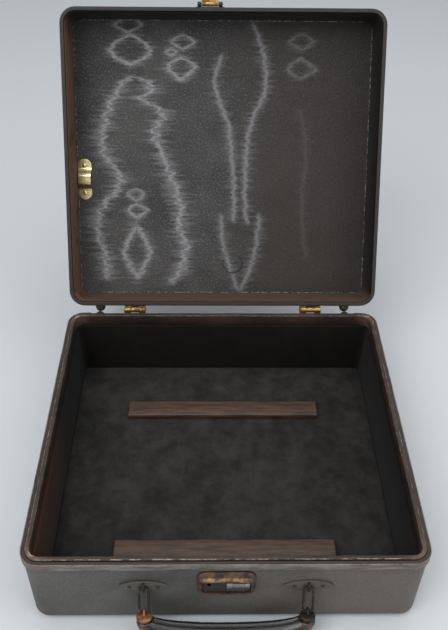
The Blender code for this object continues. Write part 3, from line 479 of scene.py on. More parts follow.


# The last argument gives the heights from which the covering is turned over the wall's edge; there its colour is
# darkened as painted shadow on the ledge.
def leatheretteMaterial(name, look, low, high, shutLid, reach, worn, ledge):
    material, tree, shader, place = startMaterial(name, shutLid)
    grain = useGroup(tree, "leatherGrain", Vector=place, Scale=look["grain"])
    wear = useGroup(tree, "edgeWear", Vector=place, Low=low, High=high, Reach=reach, Ragged=reach * 1.7)
    split = parts(tree, place)
    cloud = times(tree, grain["Cloud"], look["drift"])
    shade = blendColour(tree, ramp(tree, grain["Cloud"], 0.28, 0.72), look["dark"], look["light"])
    warm = ramp(tree, plus(tree, split["X"], cloud), *look["warmFrom"])
    shade = blendColour(tree, times(tree, warm, look["warmShare"]), shade, look["warm"])
    pitted = creased(tree, grain, look["poreShare"], shade, look["pore"])
    # Pale flecks, partly painted glints on the grain.
    fleckGlinted = blendColour(tree, times(tree, grain["Fleck"], look["fleckGlintShare"]), pitted, look["fleck"])
    shown = blendColour(tree, times(tree, wear["Mask"], worn), fleckGlinted, look["worn"])
    # Painted shadow: the turned-over ledge is blended towards the dark ledge colour.
    ledgeShadeMask = ramp(tree, split["Z"], *ledge)
    tree.links.new(blendColour(tree, times(tree, ledgeShadeMask, look["ledgeShadeShare"]), shown, look["ledge"]),
                   shader.inputs["Base Color"])
    smoothest, roughest = look["roughness"]
    rough = plus(tree, smoothest, times(tree, grain["Cloud"], roughest - smoothest))
    tree.links.new(plus(tree, rough, times(tree, wear["Mask"], 0.15)),
                   shader.inputs["Roughness"])
    addBump(tree, shader, grain["Height"], *look["bump"])
    return material


rimLook = {
    "bandDark": colour(78, 72, 67),
    "bandLight": colour(142, 136, 128),
    "bandWorn": colour(140, 120, 108),
    "lipDark": colour(34, 27, 23),
    "lipBrown": colour(68, 50, 42),
    "bare": colour(176, 156, 136),
    "corner": colour(116, 92, 82),
    "cornerReach": (0.034, 0.014),
    # heights of the painted shadow line along the band's lower edge
    "bandShadowLine": (0.0738, 0.0760),
    "bandRoughness": 0.42,
    "lipRoughness": 0.46,
    "poreShare": 0.5,
}


# 1 in the case's four upright corners, ragged where it fades out along the sides.
def cornerMask(tree, place):
    split = parts(tree, place)
    side = fromEdge(tree, case["halfWidth"], split["X"])
    front = fromEdge(tree, case["halfDepth"], split["Y"])
    ragged = uneven(tree, place, 120.0, 6.0, 0.7, 0.030)
    far, near = rimLook["cornerReach"]
    reach = plus(tree, plus(tree, side, front), ragged)
    return flip(tree, ramp(tree, reach, near, far))


def bandMaterial():
    look = rimLook
    material, tree, shader, place = startMaterial("rimBandLeather")
    grain = useGroup(tree, "leatherGrain", Vector=place, Scale=800.0)
    wear = useGroup(tree, "edgeWear", Vector=place, Low=0.0733, High=0.0820, Reach=0.0014, Ragged=0.0030)
    stretch = stretched(tree, place, (0.25, 0.25, 1.6))
    scuffs = ramp(tree, noise(tree, stretch, 160.0, 7.0, 0.7), 0.34, 0.66)
    shade = blendColour(tree, scuffs, look["bandDark"], look["bandLight"])
    split = parts(tree, place)
    # Painted shadow line: below these heights the band is darkened towards the lip's dark brown.
    crown = ramp(tree, split["Z"], *look["bandShadowLine"])
    shade = blendColour(tree, times(tree, flip(tree, crown), 0.75), shade,
                        look["lipDark"])
    brown = blendColour(tree, times(tree, cornerMask(tree, place), 0.7), shade, look["corner"])
    worn = blendColour(tree, times(tree, wear["Mask"], 0.7), brown, look["bandWorn"])
    pitted = creased(tree, grain, look["poreShare"], worn, look["lipDark"])
    tree.links.new(pitted, shader.inputs["Base Color"])
    shader.inputs["Roughness"].default_value = look["bandRoughness"]
    addBump(tree, shader, grain["Height"], 0.6, 0.0004)
    return material


# Brown covering strip with a pale broken line along its outer upper edge and a fainter one along its inner edge:
# partly worn through to its pale backing, partly a painted highlight where light catches the edges.
def lipMaterial():
    look = rimLook
    material, tree, shader, place = startMaterial("lipLeather")
    grain = useGroup(tree, "leatherGrain", Vector=place, Scale=700.0)
    split = parts(tree, place)
    side = fromEdge(tree, case["halfWidth"], split["X"])
    front = fromEdge(tree, case["halfDepth"], split["Y"])
    inset = math(tree, "MINIMUM", side, front)
    ragged = uneven(tree, place, 300.0, 6.0, 0.7, 0.0016)
    crown = ramp(tree, plus(tree, split["Z"], ragged), 0.0828, 0.0834)
    outer = flip(tree, ramp(tree, plus(tree, inset, ragged), 0.0043, 0.0050))
    inner = ramp(tree, plus(tree, inset, ragged), 0.0072, 0.0077)
    broken = ramp(tree, noise(tree, place, 130.0, 6.0, 0.75), 0.42, 0.62)
    # The pale line is part wear and part painted highlight along the lip's edges.
    line = times(tree, times(tree, crown, broken), plus(tree, outer, times(tree, inner, 0.6)), clamp=True)
    shade = blendColour(tree, ramp(tree, grain["Cloud"], 0.3, 0.7), look["lipDark"], look["lipBrown"])
    brown = blendColour(tree, times(tree, cornerMask(tree, place), 0.75), shade, look["corner"])
    pitted = creased(tree, grain, look["poreShare"], brown, look["lipDark"])
    tree.links.new(blendColour(tree, line, pitted, look["bare"]), shader.inputs["Base Color"])
    shader.inputs["Roughness"].default_value = look["lipRoughness"]
    addBump(tree, shader, grain["Height"], 0.7, 0.0004)
    return material


# Cloth lining. The last argument gives a lighter colour painted on the walls that face the light, as painted light,
# and where it starts and ends across, along and on the rear wall.
def clothMaterial(name, dark, light, threads, roughness, shutLid=False, litWalls=None):
    material, tree, shader, place = startMaterial(name, shutLid)
    weave = useGroup(tree, "clothWeave", Vector=place, Threads=threads)
    shade = blendColour(tree, ramp(tree, weave["Tone"], 0.3, 0.72), dark, light)
    # Painted light: the lit walls are blended by position towards a lighter brown, leaving the shaded walls dark.
    if litWalls:
        split = parts(tree, place)
        cloud = uneven(tree, place, 30.0, 5.0, 0.7, 0.06)
        across = ramp(tree, plus(tree, split["X"], cloud), *litWalls["x"])
        along = ramp(tree, plus(tree, split["Y"], cloud), *litWalls["y"])
        mask = times(tree, across, along)
        if "rear" in litWalls:
            rear = times(tree, ramp(tree, split["Y"], *litWalls["rear"]), litWalls["rearShare"])
            mask = math(tree, "MAXIMUM", mask, rear)
        shade = blendColour(tree, mask, shade, litWalls["colour"])
    threadShade = times(tree, flip(tree, weave["Height"]), 0.5)
    tree.links.new(blendColour(tree, threadShade, shade, dark), shader.inputs["Base Color"])
    shader.inputs["Roughness"].default_value = roughness
    shader.inputs["Specular IOR Level"].default_value = 0.15
    shader.inputs["Sheen Weight"].default_value = 0.03
    shader.inputs["Sheen Roughness"].default_value = 0.5
    addBump(tree, shader, weave["Height"], 0.5, 0.0004)
    return material


moireLook = {
    "ground": colour(46, 45, 45),
    "lift": colour(74, 73, 72),
    # colour of the darker, browner right side, outside the painted sheen
    "aside": colour(48, 42, 37),
    "fleck": colour(132, 132, 130),
    "strand": colour(150, 150, 152),
    "edge": colour(132, 124, 112),
    "span": 0.36,
    "soft": 0.004,
    "core": (0.0002, 0.0034),
    "stretch": (0.10, 1.0, 1.0),
    "jag": (240.0, 3.0, 0.65, 0.034),
    "ringJag": 0.6,
    "streaks": 380.0,
    "reach": (0.004, 0.024),
    "grain": 620.0,
    "bump": (0.8, 0.0005),
}

# Strands of the watered pattern, each a row of pixels of the photograph from top to bottom
moireStrands = [
    {"glow": 0.95, "teeth": 1.0,
     "path": [(130, 76), (114, 96), (106, 116), (102, 140), (106, 158), (119, 176), (116, 190),
                            (100, 210), (97, 224), (103, 246), (109, 280)]},
    {"glow": 1.0, "teeth": 1.0,
     "path": [(130, 76), (141, 97), (152, 92), (163, 112), (156, 130), (162, 154), (172, 180),
                           (180, 206), (180, 228), (186, 254), (170, 284)]},
    {"glow": 0.62, "teeth": 0.4,
     "path": [(222, 55), (215, 84), (222, 108), (229, 130), (232, 160), (234, 190), (233, 222)]},
    {"glow": 0.55, "teeth": 0.4,
     "path": [(221, 214), (221, 230), (226, 254), (238, 291)]},
    {"glow": 0.62, "teeth": 0.4,
     "path": [(253, 23), (264, 58), (265, 92), (252, 120), (246, 160), (245, 200), (247, 224)]},
    {"glow": 0.55, "teeth": 0.4,
     "path": [(259, 214), (258, 232), (253, 258), (240, 291)]},
    {"glow": 0.10, "teeth": 0.4,
     "path": [(300, 110), (306, 150), (302, 200), (306, 260)]},
]
# Rings of the same pattern: the pixel in their middle and half their width and height in pixels
moireRings = [
    {"glow": 0.95, "middle": (130, 50), "half": (21, 15)},
    {"glow": 0.80, "middle": (128, 24), "half": (14, 8)},
    {"glow": 0.85, "middle": (183, 42), "half": (11, 7)},
    {"glow": 0.85, "middle": (171, 52), "half": (5, 4)},
    {"glow": 0.90, "middle": (181, 68), "half": (14, 11)},
    {"glow": 0.70, "middle": (136, 195), "half": (7, 6)},
    {"glow": 0.80, "middle": (137, 211), "half": (9, 7)},
    {"glow": 0.85, "middle": (137, 251), "half": (13, 24)},
    {"glow": 0.30, "middle": (302, 42), "half": (11, 8)},
    {"glow": 0.34, "middle": (301, 69), "half": (13, 10)},
]


moireInputs = {
    "moireStrand": ["Across", "Strand", "Ends"],
    "moireRing": ["Across", "Along", "Middle X", "Middle Y", "Half Width", "Half Height"],
}


# Two groups: the glow beside a strand, and the glow along a ring.
def moireGroups():
    for name, own in moireInputs.items():
        labels = own + ["Jag", "Reach", "Strength"]
        tree, given, result = newGroup(name, [(label, "Float", 1.0) for label in labels], [("Glow", "Float")])
        if name == "moireStrand":
            offset = minus(tree, given["Across"], given["Strand"])
            ends = given["Ends"]
        else:
            across = math(tree, "ABSOLUTE", minus(tree, given["Across"], given["Middle X"]))
            along = math(tree, "ABSOLUTE", minus(tree, given["Along"], given["Middle Y"]))
            wide = math(tree, "POWER", math(tree, "DIVIDE", across, given["Half Width"]), 1.25)
            high = math(tree, "POWER", math(tree, "DIVIDE", along, given["Half Height"]), 1.25)
            ring = minus(tree, math(tree, "POWER", plus(tree, wide, high), 0.8), 1.0)
            offset = times(tree, ring, given["Half Width"])
            ends = 1.0
        jagged = math(tree, "ABSOLUTE", plus(tree, offset, given["Jag"]))
        core = flip(tree, ramp(tree, jagged, *moireLook["core"]))
        away = math(tree, "DIVIDE", math(tree, "ABSOLUTE", offset), given["Reach"])
        halo = flip(tree, ramp(tree, away, 0.0, 1.0))
        glow = plus(tree, times(tree, core, 0.55), times(tree, halo, 0.45))
        glow = times(tree, glow, given["Strength"])
        tree.links.new(times(tree, glow, ends, clamp=True), result["Glow"])
        groups[name] = tree


moireGroups()


# A curve that gives the strand's place across for each place along, and 1 between its two ends.
def strandPath(tree, along, path):
    span = moireLook["span"]
    curve = addNode(tree, "ShaderNodeFloatCurve")
    points = sorted((point.y, point.x) for point in (liningPoint(pixel) for pixel in path))
    line = curve.mapping.curves[0]
    while len(line.points) < len(points):
        line.points.new(0.5, 0.5)
    for spot, (y, x) in zip(line.points, points):
        spot.location = (y / span + 0.5, x / span + 0.5)
    curve.mapping.update()
    tree.links.new(plus(tree, math(tree, "DIVIDE", along, span), 0.5), curve.inputs["Value"])
    across = times(tree, minus(tree, curve.outputs["Value"], 0.5), span)
    soft = moireLook["soft"]
    starts = ramp(tree, along, points[0][0] - soft, points[0][0] + soft)
    stops = flip(tree, ramp(tree, along, points[-1][0] - soft, points[-1][0] + soft))
    return across, times(tree, starts, stops)


# Watered cloth with a leather grain: pale jagged strands with streaks that run off them to both sides.
def moireMaterial():
    look = moireLook
    material, tree, shader, place = startMaterial("moireCloth", True)
    split = parts(tree, place)
    grain = useGroup(tree, "leatherGrain", Vector=place, Scale=look["grain"])
    rows = stretched(tree, place, look["stretch"])
    jag = uneven(tree, rows, *look["jag"])
    streak = ramp(tree, noise(tree, rows, look["streaks"], 3.0, 0.6), 0.30, 0.72)
    least, more = look["reach"]
    reach = plus(tree, least, times(tree, streak, more))
    glow = None
    for strand in moireStrands:
        across, ends = strandPath(tree, split["Y"], strand["path"])
        one = useGroup(tree, "moireStrand", Across=split["X"], Strand=across, Ends=ends, Strength=strand["glow"],
                       Jag=times(tree, jag, strand["teeth"]),
                       Reach=times(tree, reach, 0.35 + 0.65 * strand["teeth"]))
        glow = one["Glow"] if glow is None else math(tree, "MAXIMUM", glow, one["Glow"])
    for ring in moireRings:
        middle = liningPoint(ring["middle"])
        edge = liningPoint((ring["middle"][0] + ring["half"][0], ring["middle"][1] + ring["half"][1]))
        one = useGroup(tree, "moireRing", Across=split["X"], Along=split["Y"], Strength=ring["glow"],
                       Jag=times(tree, jag, look["ringJag"]), Reach=times(tree, reach, look["ringJag"]),
                       Middle_X=middle.x, Middle_Y=middle.y,
                       Half_Width=abs(edge.x - middle.x), Half_Height=abs(edge.y - middle.y))
        glow = math(tree, "MAXIMUM", glow, one["Glow"])
    sparkle = plus(tree, 0.45, times(tree, grain["Height"], 0.75))
    glow = times(tree, glow, sparkle, clamp=True)
    ground = blendColour(tree, ramp(tree, grain["Cloud"], 0.3, 0.7), look["ground"], look["lift"])
    # Painted sheen: the left side keeps a lighter ground and more pale flecks; towards the right the ground turns
    # darker and browner with fewer flecks.
    aside = ramp(tree, plus(tree, split["X"], times(tree, noise(tree, place, 14.0), 0.06)), 0.015, 0.090)
    ground = blendColour(tree, times(tree, aside, 0.85), ground, look["aside"])
    ground = creased(tree, grain, 0.55, ground, rimLook["lipDark"])
    sheenFlecks = times(tree, grain["Fleck"], minus(tree, 0.42, times(tree, aside, 0.30)))
    ground = blendColour(tree, sheenFlecks, ground, look["fleck"])
    shaded = blendColour(tree, glow, ground, look["strand"])
    fromEnds = fromEdge(tree, liningSettings["halfDepth"], split["Y"])
    fromSides = fromEdge(tree, liningSettings["halfWidth"], split["X"])
    nearEdge = flip(tree, ramp(tree, math(tree, "MINIMUM", fromEnds, fromSides), 0.0006, 0.0014))
    dashes = ramp(tree, noise(tree, place, 330.0, 2.0, 0.6), 0.48, 0.58)
    edged = blendColour(tree, times(tree, nearEdge, dashes), shaded, look["edge"])
    tree.links.new(edged, shader.inputs["Base Color"])
    tree.links.new(minus(tree, 0.56, times(tree, glow, 0.14)), shader.inputs["Roughness"])
    addBump(tree, shader, grain["Height"], *look["bump"])
    return material


def metalMaterial(name, bright, tarnish, roughness, amount, metallic=1.0, scale=120.0, shutLid=False):
    material, tree, shader, place = startMaterial(name, shutLid)
    patina = useGroup(tree, "metalPatina", Vector=place, Scale=scale, Amount=amount)
    shade = blendColour(tree, patina["Mask"], bright, tarnish)
    shade = blendColour(tree, times(tree, patina["Scratch"], 0.35), shade, bright)
    tree.links.new(shade, shader.inputs["Base Color"])
    rough = plus(tree, roughness, times(tree, patina["Mask"], 0.22))
    tree.links.new(minus(tree, rough, times(tree, patina["Scratch"], 0.08)),
                   shader.inputs["Roughness"])
    tree.links.new(minus(tree, metallic, times(tree, patina["Mask"], 0.35)),
                   shader.inputs["Metallic"])
    addBump(tree, shader, noise(tree, place, scale * 6, 5.0, 0.6), 0.18, 0.0002)
    return material


gripLook = {"black": colour(34, 31, 30), "brown": colour(96, 62, 42), "crease": colour(16, 15, 15)}


# Black glazed leather, worn to brown at the ends of the grip.
def gripMaterial():
    material, tree, shader, place = startMaterial("gripLeather")
    grain = useGroup(tree, "leatherGrain", Vector=place, Scale=520.0)
    split = parts(tree, place)
    reach = plus(tree, math(tree, "ABSOLUTE", split["X"]),
                 times(tree, noise(tree, place, 110.0, 5.0, 0.7), 0.014))
    ends = ramp(tree, reach, 0.0670, 0.0760)
    flaking = ramp(tree, noise(tree, place, 260.0, 5.0, 0.7), 0.44, 0.62)
    shade = blendColour(tree, grain["Cloud"], gripLook["crease"], gripLook["black"])
    tree.links.new(blendColour(tree, times(tree, ends, flaking), shade, gripLook["brown"]),
                   shader.inputs["Base Color"])
    tree.links.new(plus(tree, 0.22, times(tree, ends, 0.3)), shader.inputs["Roughness"])
    shader.inputs["Coat Weight"].default_value = 0.35
    shader.inputs["Coat Roughness"].default_value = 0.25
    addBump(tree, shader, grain["Height"], 0.35, 0.0003)
    return material


def woodMaterial():
    material, tree, shader, place = startMaterial("stainedWood")
    stretch = stretched(tree, place, (0.12, 1.0, 1.0))
    figure = noise(tree, stretch, 260.0, 7.0, 0.6)
    tree.links.new(blendColour(tree, ramp(tree, figure, 0.3, 0.7), colour(44, 32, 25), colour(82, 60, 44)),
                   shader.inputs["Base Color"])
    shader.inputs["Roughness"].default_value = 0.55
    addBump(tree, shader, figure, 0.3, 0.0003)
    return material


hoodLook = {"bright": colour(206, 158, 118), "mid": colour(122, 90, 68), "dark": colour(52, 47, 44),
            "hoodHighlightHeights": (0.0612, 0.0668)}


# Lock frame: dark lacquer, with bright copper along its hood crest that is partly rubbed through and partly a
# painted highlight.
def hoodMaterial():
    look = hoodLook
    material, tree, shader, place = startMaterial("lockFrameBronze")
    patina = useGroup(tree, "metalPatina", Vector=place, Scale=150.0, Amount=0.40)
    split = parts(tree, place)
    ragged = uneven(tree, place, 260.0, 6.0, 0.7, 0.0030)
    low, high = look["hoodHighlightHeights"]
    # Painted highlight along the hood's crest, over copper rubbed through the lacquer.
    hood = ramp(tree, plus(tree, split["Z"], ragged), low, high)
    proud = ramp(tree, plus(tree, times(tree, split["Y"], -1.0), ragged), 0.1552, 0.1563)
    rubbedAndHighlit = math(tree, "MAXIMUM", times(tree, hood, proud), times(tree, flip(tree, patina["Mask"]), 0.14))
    worn = blendColour(tree, patina["Mask"], look["bright"], look["mid"])
    tree.links.new(blendColour(tree, rubbedAndHighlit, look["dark"], worn), shader.inputs["Base Color"])
    tree.links.new(plus(tree, 0.45, times(tree, rubbedAndHighlit, 0.5)), shader.inputs["Metallic"])
    tree.links.new(minus(tree, 0.50, times(tree, rubbedAndHighlit, 0.20)), shader.inputs["Roughness"])
    addBump(tree, shader, noise(tree, place, 900.0, 5.0, 0.6), 0.2, 0.0002)
    return material


materials = {
    "baseSkin": leatheretteMaterial("baseLeatherette", leatherette, 0.0, 0.12, False, 0.0032, 0.85,
                                    (0.0806, 0.0812)),
    "lidSkin": leatheretteMaterial("lidLeatherette", lidLeatherette, 0.0, case["lidTop"], True, 0.0022, 0.6,
                                   (0.0834, 0.0826)),
    "band": bandMaterial(),
    "lip": lipMaterial(),
    # The lighter colours given for the tray's and lid's walls are painted light on their lit walls.
    "trayCloth": clothMaterial("trayBrownCloth", colour(13, 11, 9), colour(24, 19, 16), 2600.0, 0.8,
                               litWalls={"colour": colour(66, 42, 30), "x": (-0.120, -0.150), "y": (0.060, -0.120)}),
    "lidCloth": clothMaterial("lidBrownCloth", colour(16, 14, 12), colour(29, 24, 21), 2600.0, 0.75, True,
                              litWalls={"colour": colour(112, 82, 66), "x": (-0.146, -0.158), "y": (-0.152, -0.125),
                                     "rear": (0.136, 0.146), "rearShare": 0.55}),
    "floorFelt": clothMaterial("charcoalFelt", colour(30, 29, 28), colour(56, 54, 52), 2100.0, 0.9),
    "moire": moireMaterial(),
    "paleBrass": metalMaterial("paleBrass", colour(228, 214, 160), colour(176, 156, 104), 0.24, 0.22, shutLid=True),
    "agedBrass": metalMaterial("agedBrass", colour(186, 150, 92), colour(92, 70, 46), 0.34, 0.42),
    "bronze": metalMaterial("wornBronze", colour(120, 102, 86), colour(44, 39, 36), 0.38, 0.55, 0.85),
    "cap": metalMaterial("wornCap", colour(176, 122, 80), colour(92, 62, 44), 0.40, 0.46, 0.55, 150.0),
    "hood": hoodMaterial(),
    "darkSteel": metalMaterial("darkLacquer", colour(128, 118, 100), colour(50, 47, 44), 0.40, 0.60, 0.7, 160.0),
    "plateLacquer": metalMaterial("plateLacquer", colour(150, 141, 124), colour(80, 77, 71), 0.42, 0.66, 0.5, 160.0),
    "greySteel": metalMaterial("greySteel", colour(160, 158, 152), colour(96, 92, 85), 0.30, 0.34),
    "grip": gripMaterial(),
    "wood": woodMaterial(),
}
print("materials made:", len(materials))

# Tray: covering, band, lip and linings
softWidths = {"covering": 0.0004, "band": 0.0003, "lip": 0.00015, "board": 0.0004}


def buildTray():
    hand(softened("base_covering", "trayLeatherette", softWidths["covering"]), materials["baseSkin"], "base",
         "leatherette", "base_covering")
    hand(softened("base_rim_band", "trayRimBand", softWidths["band"]), materials["band"], "base", "rim_leather",
         "base_rim_band")
    hand(softened("base_lip", "trayLip", softWidths["lip"]), materials["lip"], "base", "worn_lip", "base_lip")
    hand(softened("base_wall_liner", "trayWallCloth", softWidths["board"]), materials["trayCloth"], "base",
         "brown_cloth", "base_wall_liner")
    floor = feltPad("base_floor_lining", "trayFloorFelt", feltSettings)
    hand(floor, materials["floorFelt"], "base", "charcoal_felt", "base_floor_lining")
    for node, name in (("front_batten", "frontRest"), ("rear_batten", "rearRest")):
        hand(softened(node, name, softWidths["board"]), materials["wood"], "base", "plywood", node)


feltSettings = {"spacing": 0.005, "corner": 0.0055, "wave": 0.00035, "round": 0.0008, "seed": 7}


# A glued felt lining with a slightly uneven face and soft edges.
def feltPad(node, name, settings):
    low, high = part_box(node)
    size = high - low
    columns, rows = int(size.x / settings["spacing"]), int(size.y / settings["spacing"])
    drop()
    bpy.ops.mesh.primitive_grid_add(x_subdivisions=columns, y_subdivisions=rows, size=1.0,
                                    location=((low.x + high.x) / 2, (low.y + high.y) / 2, high.z))
    pad = bpy.context.object
    pad.name = name
    pad.scale = (size.x, size.y, 1)
    settle(pad)
    roundCorners(pad, low, high, settings["corner"])
    draw = random.Random(settings["seed"])
    humps = [(draw.uniform(low.x, high.x), draw.uniform(low.y, high.y), draw.uniform(30, 70),
              draw.uniform(0, 2 * pi)) for _ in range(6)]
    for vertex in pad.data.vertices:
        wave = sum(sin(spread * (vertex.co.x - x) + phase) * cos(spread * (vertex.co.y - y))
                   for x, y, spread, phase in humps) / len(humps)
        vertex.co.z -= settings["wave"] * (1 + wave) / 2
    thick = pad.modifiers.new("thickness", "SOLIDIFY")
    thick.thickness = size.z - settings["wave"]
    thick.offset = -1
    applyModifiers(pad)
    rounding = pad.modifiers.new("rounding", "BEVEL")
    rounding.width = settings["round"]
    rounding.segments = 2
    rounding.limit_method = "ANGLE"
    rounding.angle_limit = radians(60)
    applyModifiers(pad)
    smooth(pad, 50)
    return pad


# Draw the corners of a flat grid in onto an arc.
def roundCorners(pad, low, high, radius):
    for vertex in pad.data.vertices:
        x = max(abs(vertex.co.x - (low.x + high.x) / 2) - ((high.x - low.x) / 2 - radius), 0)
        y = max(abs(vertex.co.y - (low.y + high.y) / 2) - ((high.y - low.y) / 2 - radius), 0)
        if x > 0 and y > 0:
            pull = 1 - max(x, y) / (x * x + y * y) ** 0.5
            vertex.co.x -= x * pull * (1 if vertex.co.x > 0 else -1)
            vertex.co.y -= y * pull * (1 if vertex.co.y > 0 else -1)


buildTray()
print("tray done")

# Lid: covering, wall cloth and the watered lining


def buildLining():
    s = liningSettings
    columns, rows = int(2 * s["halfWidth"] / s["spacing"]), int(2 * s["halfDepth"] / s["spacing"])
    drop()
    bpy.ops.mesh.primitive_grid_add(x_subdivisions=columns, y_subdivisions=rows, size=2.0,
                                    location=(0, 0, s["face"]))
    lining = bpy.context.object
    lining.name = "lidWateredLining"
    lining.scale = (s["halfWidth"], s["halfDepth"], 1)
    settle(lining)
    corner = Vector((s["halfWidth"], s["halfDepth"], 0))
    roundCorners(lining, -corner, corner, s["corner"])
    for vertex in lining.data.vertices:
        vertex.co.z += s["bulge"] * (sin(vertex.co.x * 31) * cos(vertex.co.y * 27 + 1) + 1) / 2
    thick = lining.modifiers.new("thickness", "SOLIDIFY")
    thick.thickness = s["thick"] - s["bulge"]
    thick.offset = 1
    applyModifiers(lining)
    turnOpen(lining)
    smooth(lining, 50)
    hand(lining, materials["moire"], "lid", "moire_cloth", "lid_top_lining")


def buildLid():
    hand(softened("lid_covering", "lidLeatherette", softWidths["covering"]), materials["lidSkin"], "lid",
         "leatherette", "lid_covering")
    hand(softened("lid_wall_lining", "lidWallCloth", softWidths["lip"]), materials["lidCloth"], "lid",
         "brown_cloth", "lid_wall_lining")
    buildLining()
    hand(softened("lining_disc", "liningDisc", 0.0003, 3), materials["moire"], "lid", "moire_cloth",
         "lining_disc")


buildLid()
print("lid done")

# Brass strap on the lining, and its rivets
strapSettings = {
    "x": -0.1521, "lowY": -0.0025, "length": 0.0445, "width": 0.0150, "thick": 0.0009,
    "rise": 0.0048, "foot": 0.0100, "ramp": 0.0088, "waist": 0.93, "gap": 0.0003,
    "steps": 60, "across": 8, "edge": 0.0002,
}


def buildStrap():
    s = strapSettings
    drop()
    bpy.ops.mesh.primitive_grid_add(x_subdivisions=s["across"], y_subdivisions=s["steps"], size=1.0)
    strap = bpy.context.object
    strap.name = "brushStrap"
    half = s["width"] / 2
    for vertex in strap.data.vertices:
        along = (vertex.co.y + 0.5) * s["length"]
        fromEnd = min(along, s["length"] - along)
        inTip = min(fromEnd / half, 1)
        share = (1 - (1 - inTip) ** 2) ** 0.5
        lift = min(max((fromEnd - s["foot"]) / s["ramp"], 0), 1)
        lift = lift * lift * (3 - 2 * lift)
        narrow = 1 - (1 - s["waist"]) * lift
        vertex.co.x = s["x"] + vertex.co.x * s["width"] * share * narrow
        vertex.co.y = s["lowY"] + along
        vertex.co.z = liningSettings["face"] - s["gap"] - s["rise"] * lift
    thick = strap.modifiers.new("thickness", "SOLIDIFY")
    thick.thickness = s["thick"]
    thick.offset = 1
    applyModifiers(strap)
    pick(strap)
    enter("EDIT")
    bpy.ops.mesh.select_all(action="SELECT")
    bpy.ops.mesh.remove_doubles(threshold=0.00002)
    bpy.ops.mesh.normals_make_consistent(inside=False)
    enter("OBJECT")
    turnOpen(strap)
    smooth(strap, 50)
    hand(strap, materials["paleBrass"], "lid", "pale_brass", "brush_strap")
    for node, name in (("strap_rivet_lower", "strapRivetLower"), ("strap_rivet_upper", "strapRivetUpper")):
        hand(softened(node, name, 0.0002), materials["paleBrass"], "lid", "pale_brass", node)


buildStrap()
print("strap done")

# Metal fittings that keep the frame's shape: finish, slot, and how far each node's edges are rounded
fittings = [
    ("agedBrass", "aged_brass", {
        "hinge_base_leaf_left": 0.00015, "hinge_base_leaf_right": 0.00015, "hinge_lid_leaf_left": 0.00015,
        "hinge_lid_leaf_right": 0.00015, "hinge_pin_left": 0.0002, "hinge_pin_right": 0.0002, "hasp": 0.0002,
        "hasp_staple": 0.0002, "hasp_pin": 0.0001, "hasp_rivet_left": 0.0001, "hasp_rivet_right": 0.0001}),
    ("darkSteel", "aged_brass", {"hasp_plate": 0.0002}),
    ("darkSteel", "dark_steel", {"lock_back_plate": 0.0001}),
    ("plateLacquer", "dark_steel", {"handle_plate_left": 0.0003, "handle_plate_right": 0.0003}),
    ("hood", "worn_bronze", {"lock_frame": 0.0003}),
    ("greySteel", "grey_steel", {"slide_button": 0.0002, "slide_bolt": 0.0001}),
    ("cap", "worn_bronze", {"handle_cap_left": 0.0002}),
    ("bronze", "worn_bronze", {"handle_cap_right": 0.0002}),
]
domes = ["glide_front_left", "glide_rear_left", "glide_front_right", "glide_rear_right", "base_stud_left",
         "base_stud_right", "lid_stud_left", "lid_stud_right", "handle_rivet_left_outer", "handle_rivet_left_inner",
         "handle_rivet_right_inner", "handle_rivet_right_outer"]
wires = ["handle_eye_left", "handle_eye_right", "handle_link_left", "handle_link_right"]


def camelName(node):
    words = node.split("_")
    return words[0] + "".join(word.capitalize() for word in words[1:])


# A clean copy taken one step of subdivision finer, with its sharp edges held.
def rounded(node):
    piece = cleanCopy(node, camelName(node))
    hold = piece.modifiers.new("hold", "BEVEL")
    hold.width = 0.0001
    hold.segments = 1
    hold.limit_method = "ANGLE"
    hold.angle_limit = radians(50)
    finer = piece.modifiers.new("finer", "SUBSURF")
    finer.levels = 1
    finer.render_levels = 1
    applyModifiers(piece)
    smooth(piece, 45)
    return piece


def buildFittings():
    for look, slotName, widths in fittings:
        for node, width in widths.items():
            hand(softened(node, camelName(node), width), materials[look], nodeBody[node], slotName, node)
    for node in domes:
        hand(rounded(node), materials["darkSteel"], nodeBody[node], "dark_steel", node)
    for node in wires:
        hand(rounded(node), materials["bronze"], nodeBody[node], "worn_bronze", node)


buildFittings()
print("fittings done")

# Coil spring of the lock, which the bolt presses together; here it is copied as the frame has it and smoothed.
springSettings = {"travel": 0.0032, "smooth": 60}


def buildSpring():
    spring = cleanCopy("lock_spring", "lockSpring")
    smooth(spring, springSettings["smooth"])
    hand(spring, materials["greySteel"], "base", "grey_steel", "lock_spring")
    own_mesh(spring)


buildSpring()
print("spring done")

# Handle: the leather grip with its seam and stitches
gripSettings = {
    "swing": Vector((0, -0.1542, 0.0515)), "drop": 0.0452, "half": 0.0670, "start": 0.0304, "reach": 0.0480,
    "lead": 0.0012, "endPull": 0.0110, "midPull": 0.0400, "endRadius": 0.0068, "midRadius": 0.0095,
    "steps": 60, "sides": 40, "crease": 0.00022, "seamHigh": 0.0010, "seamWide": 0.16, "stitch": 0.0026,
    "stitchWire": 0.00035, "stitches": 44, "capInset": 0.12, "stitchEnd": 0.92, "creaseCount": 26, "seed": 11,
}


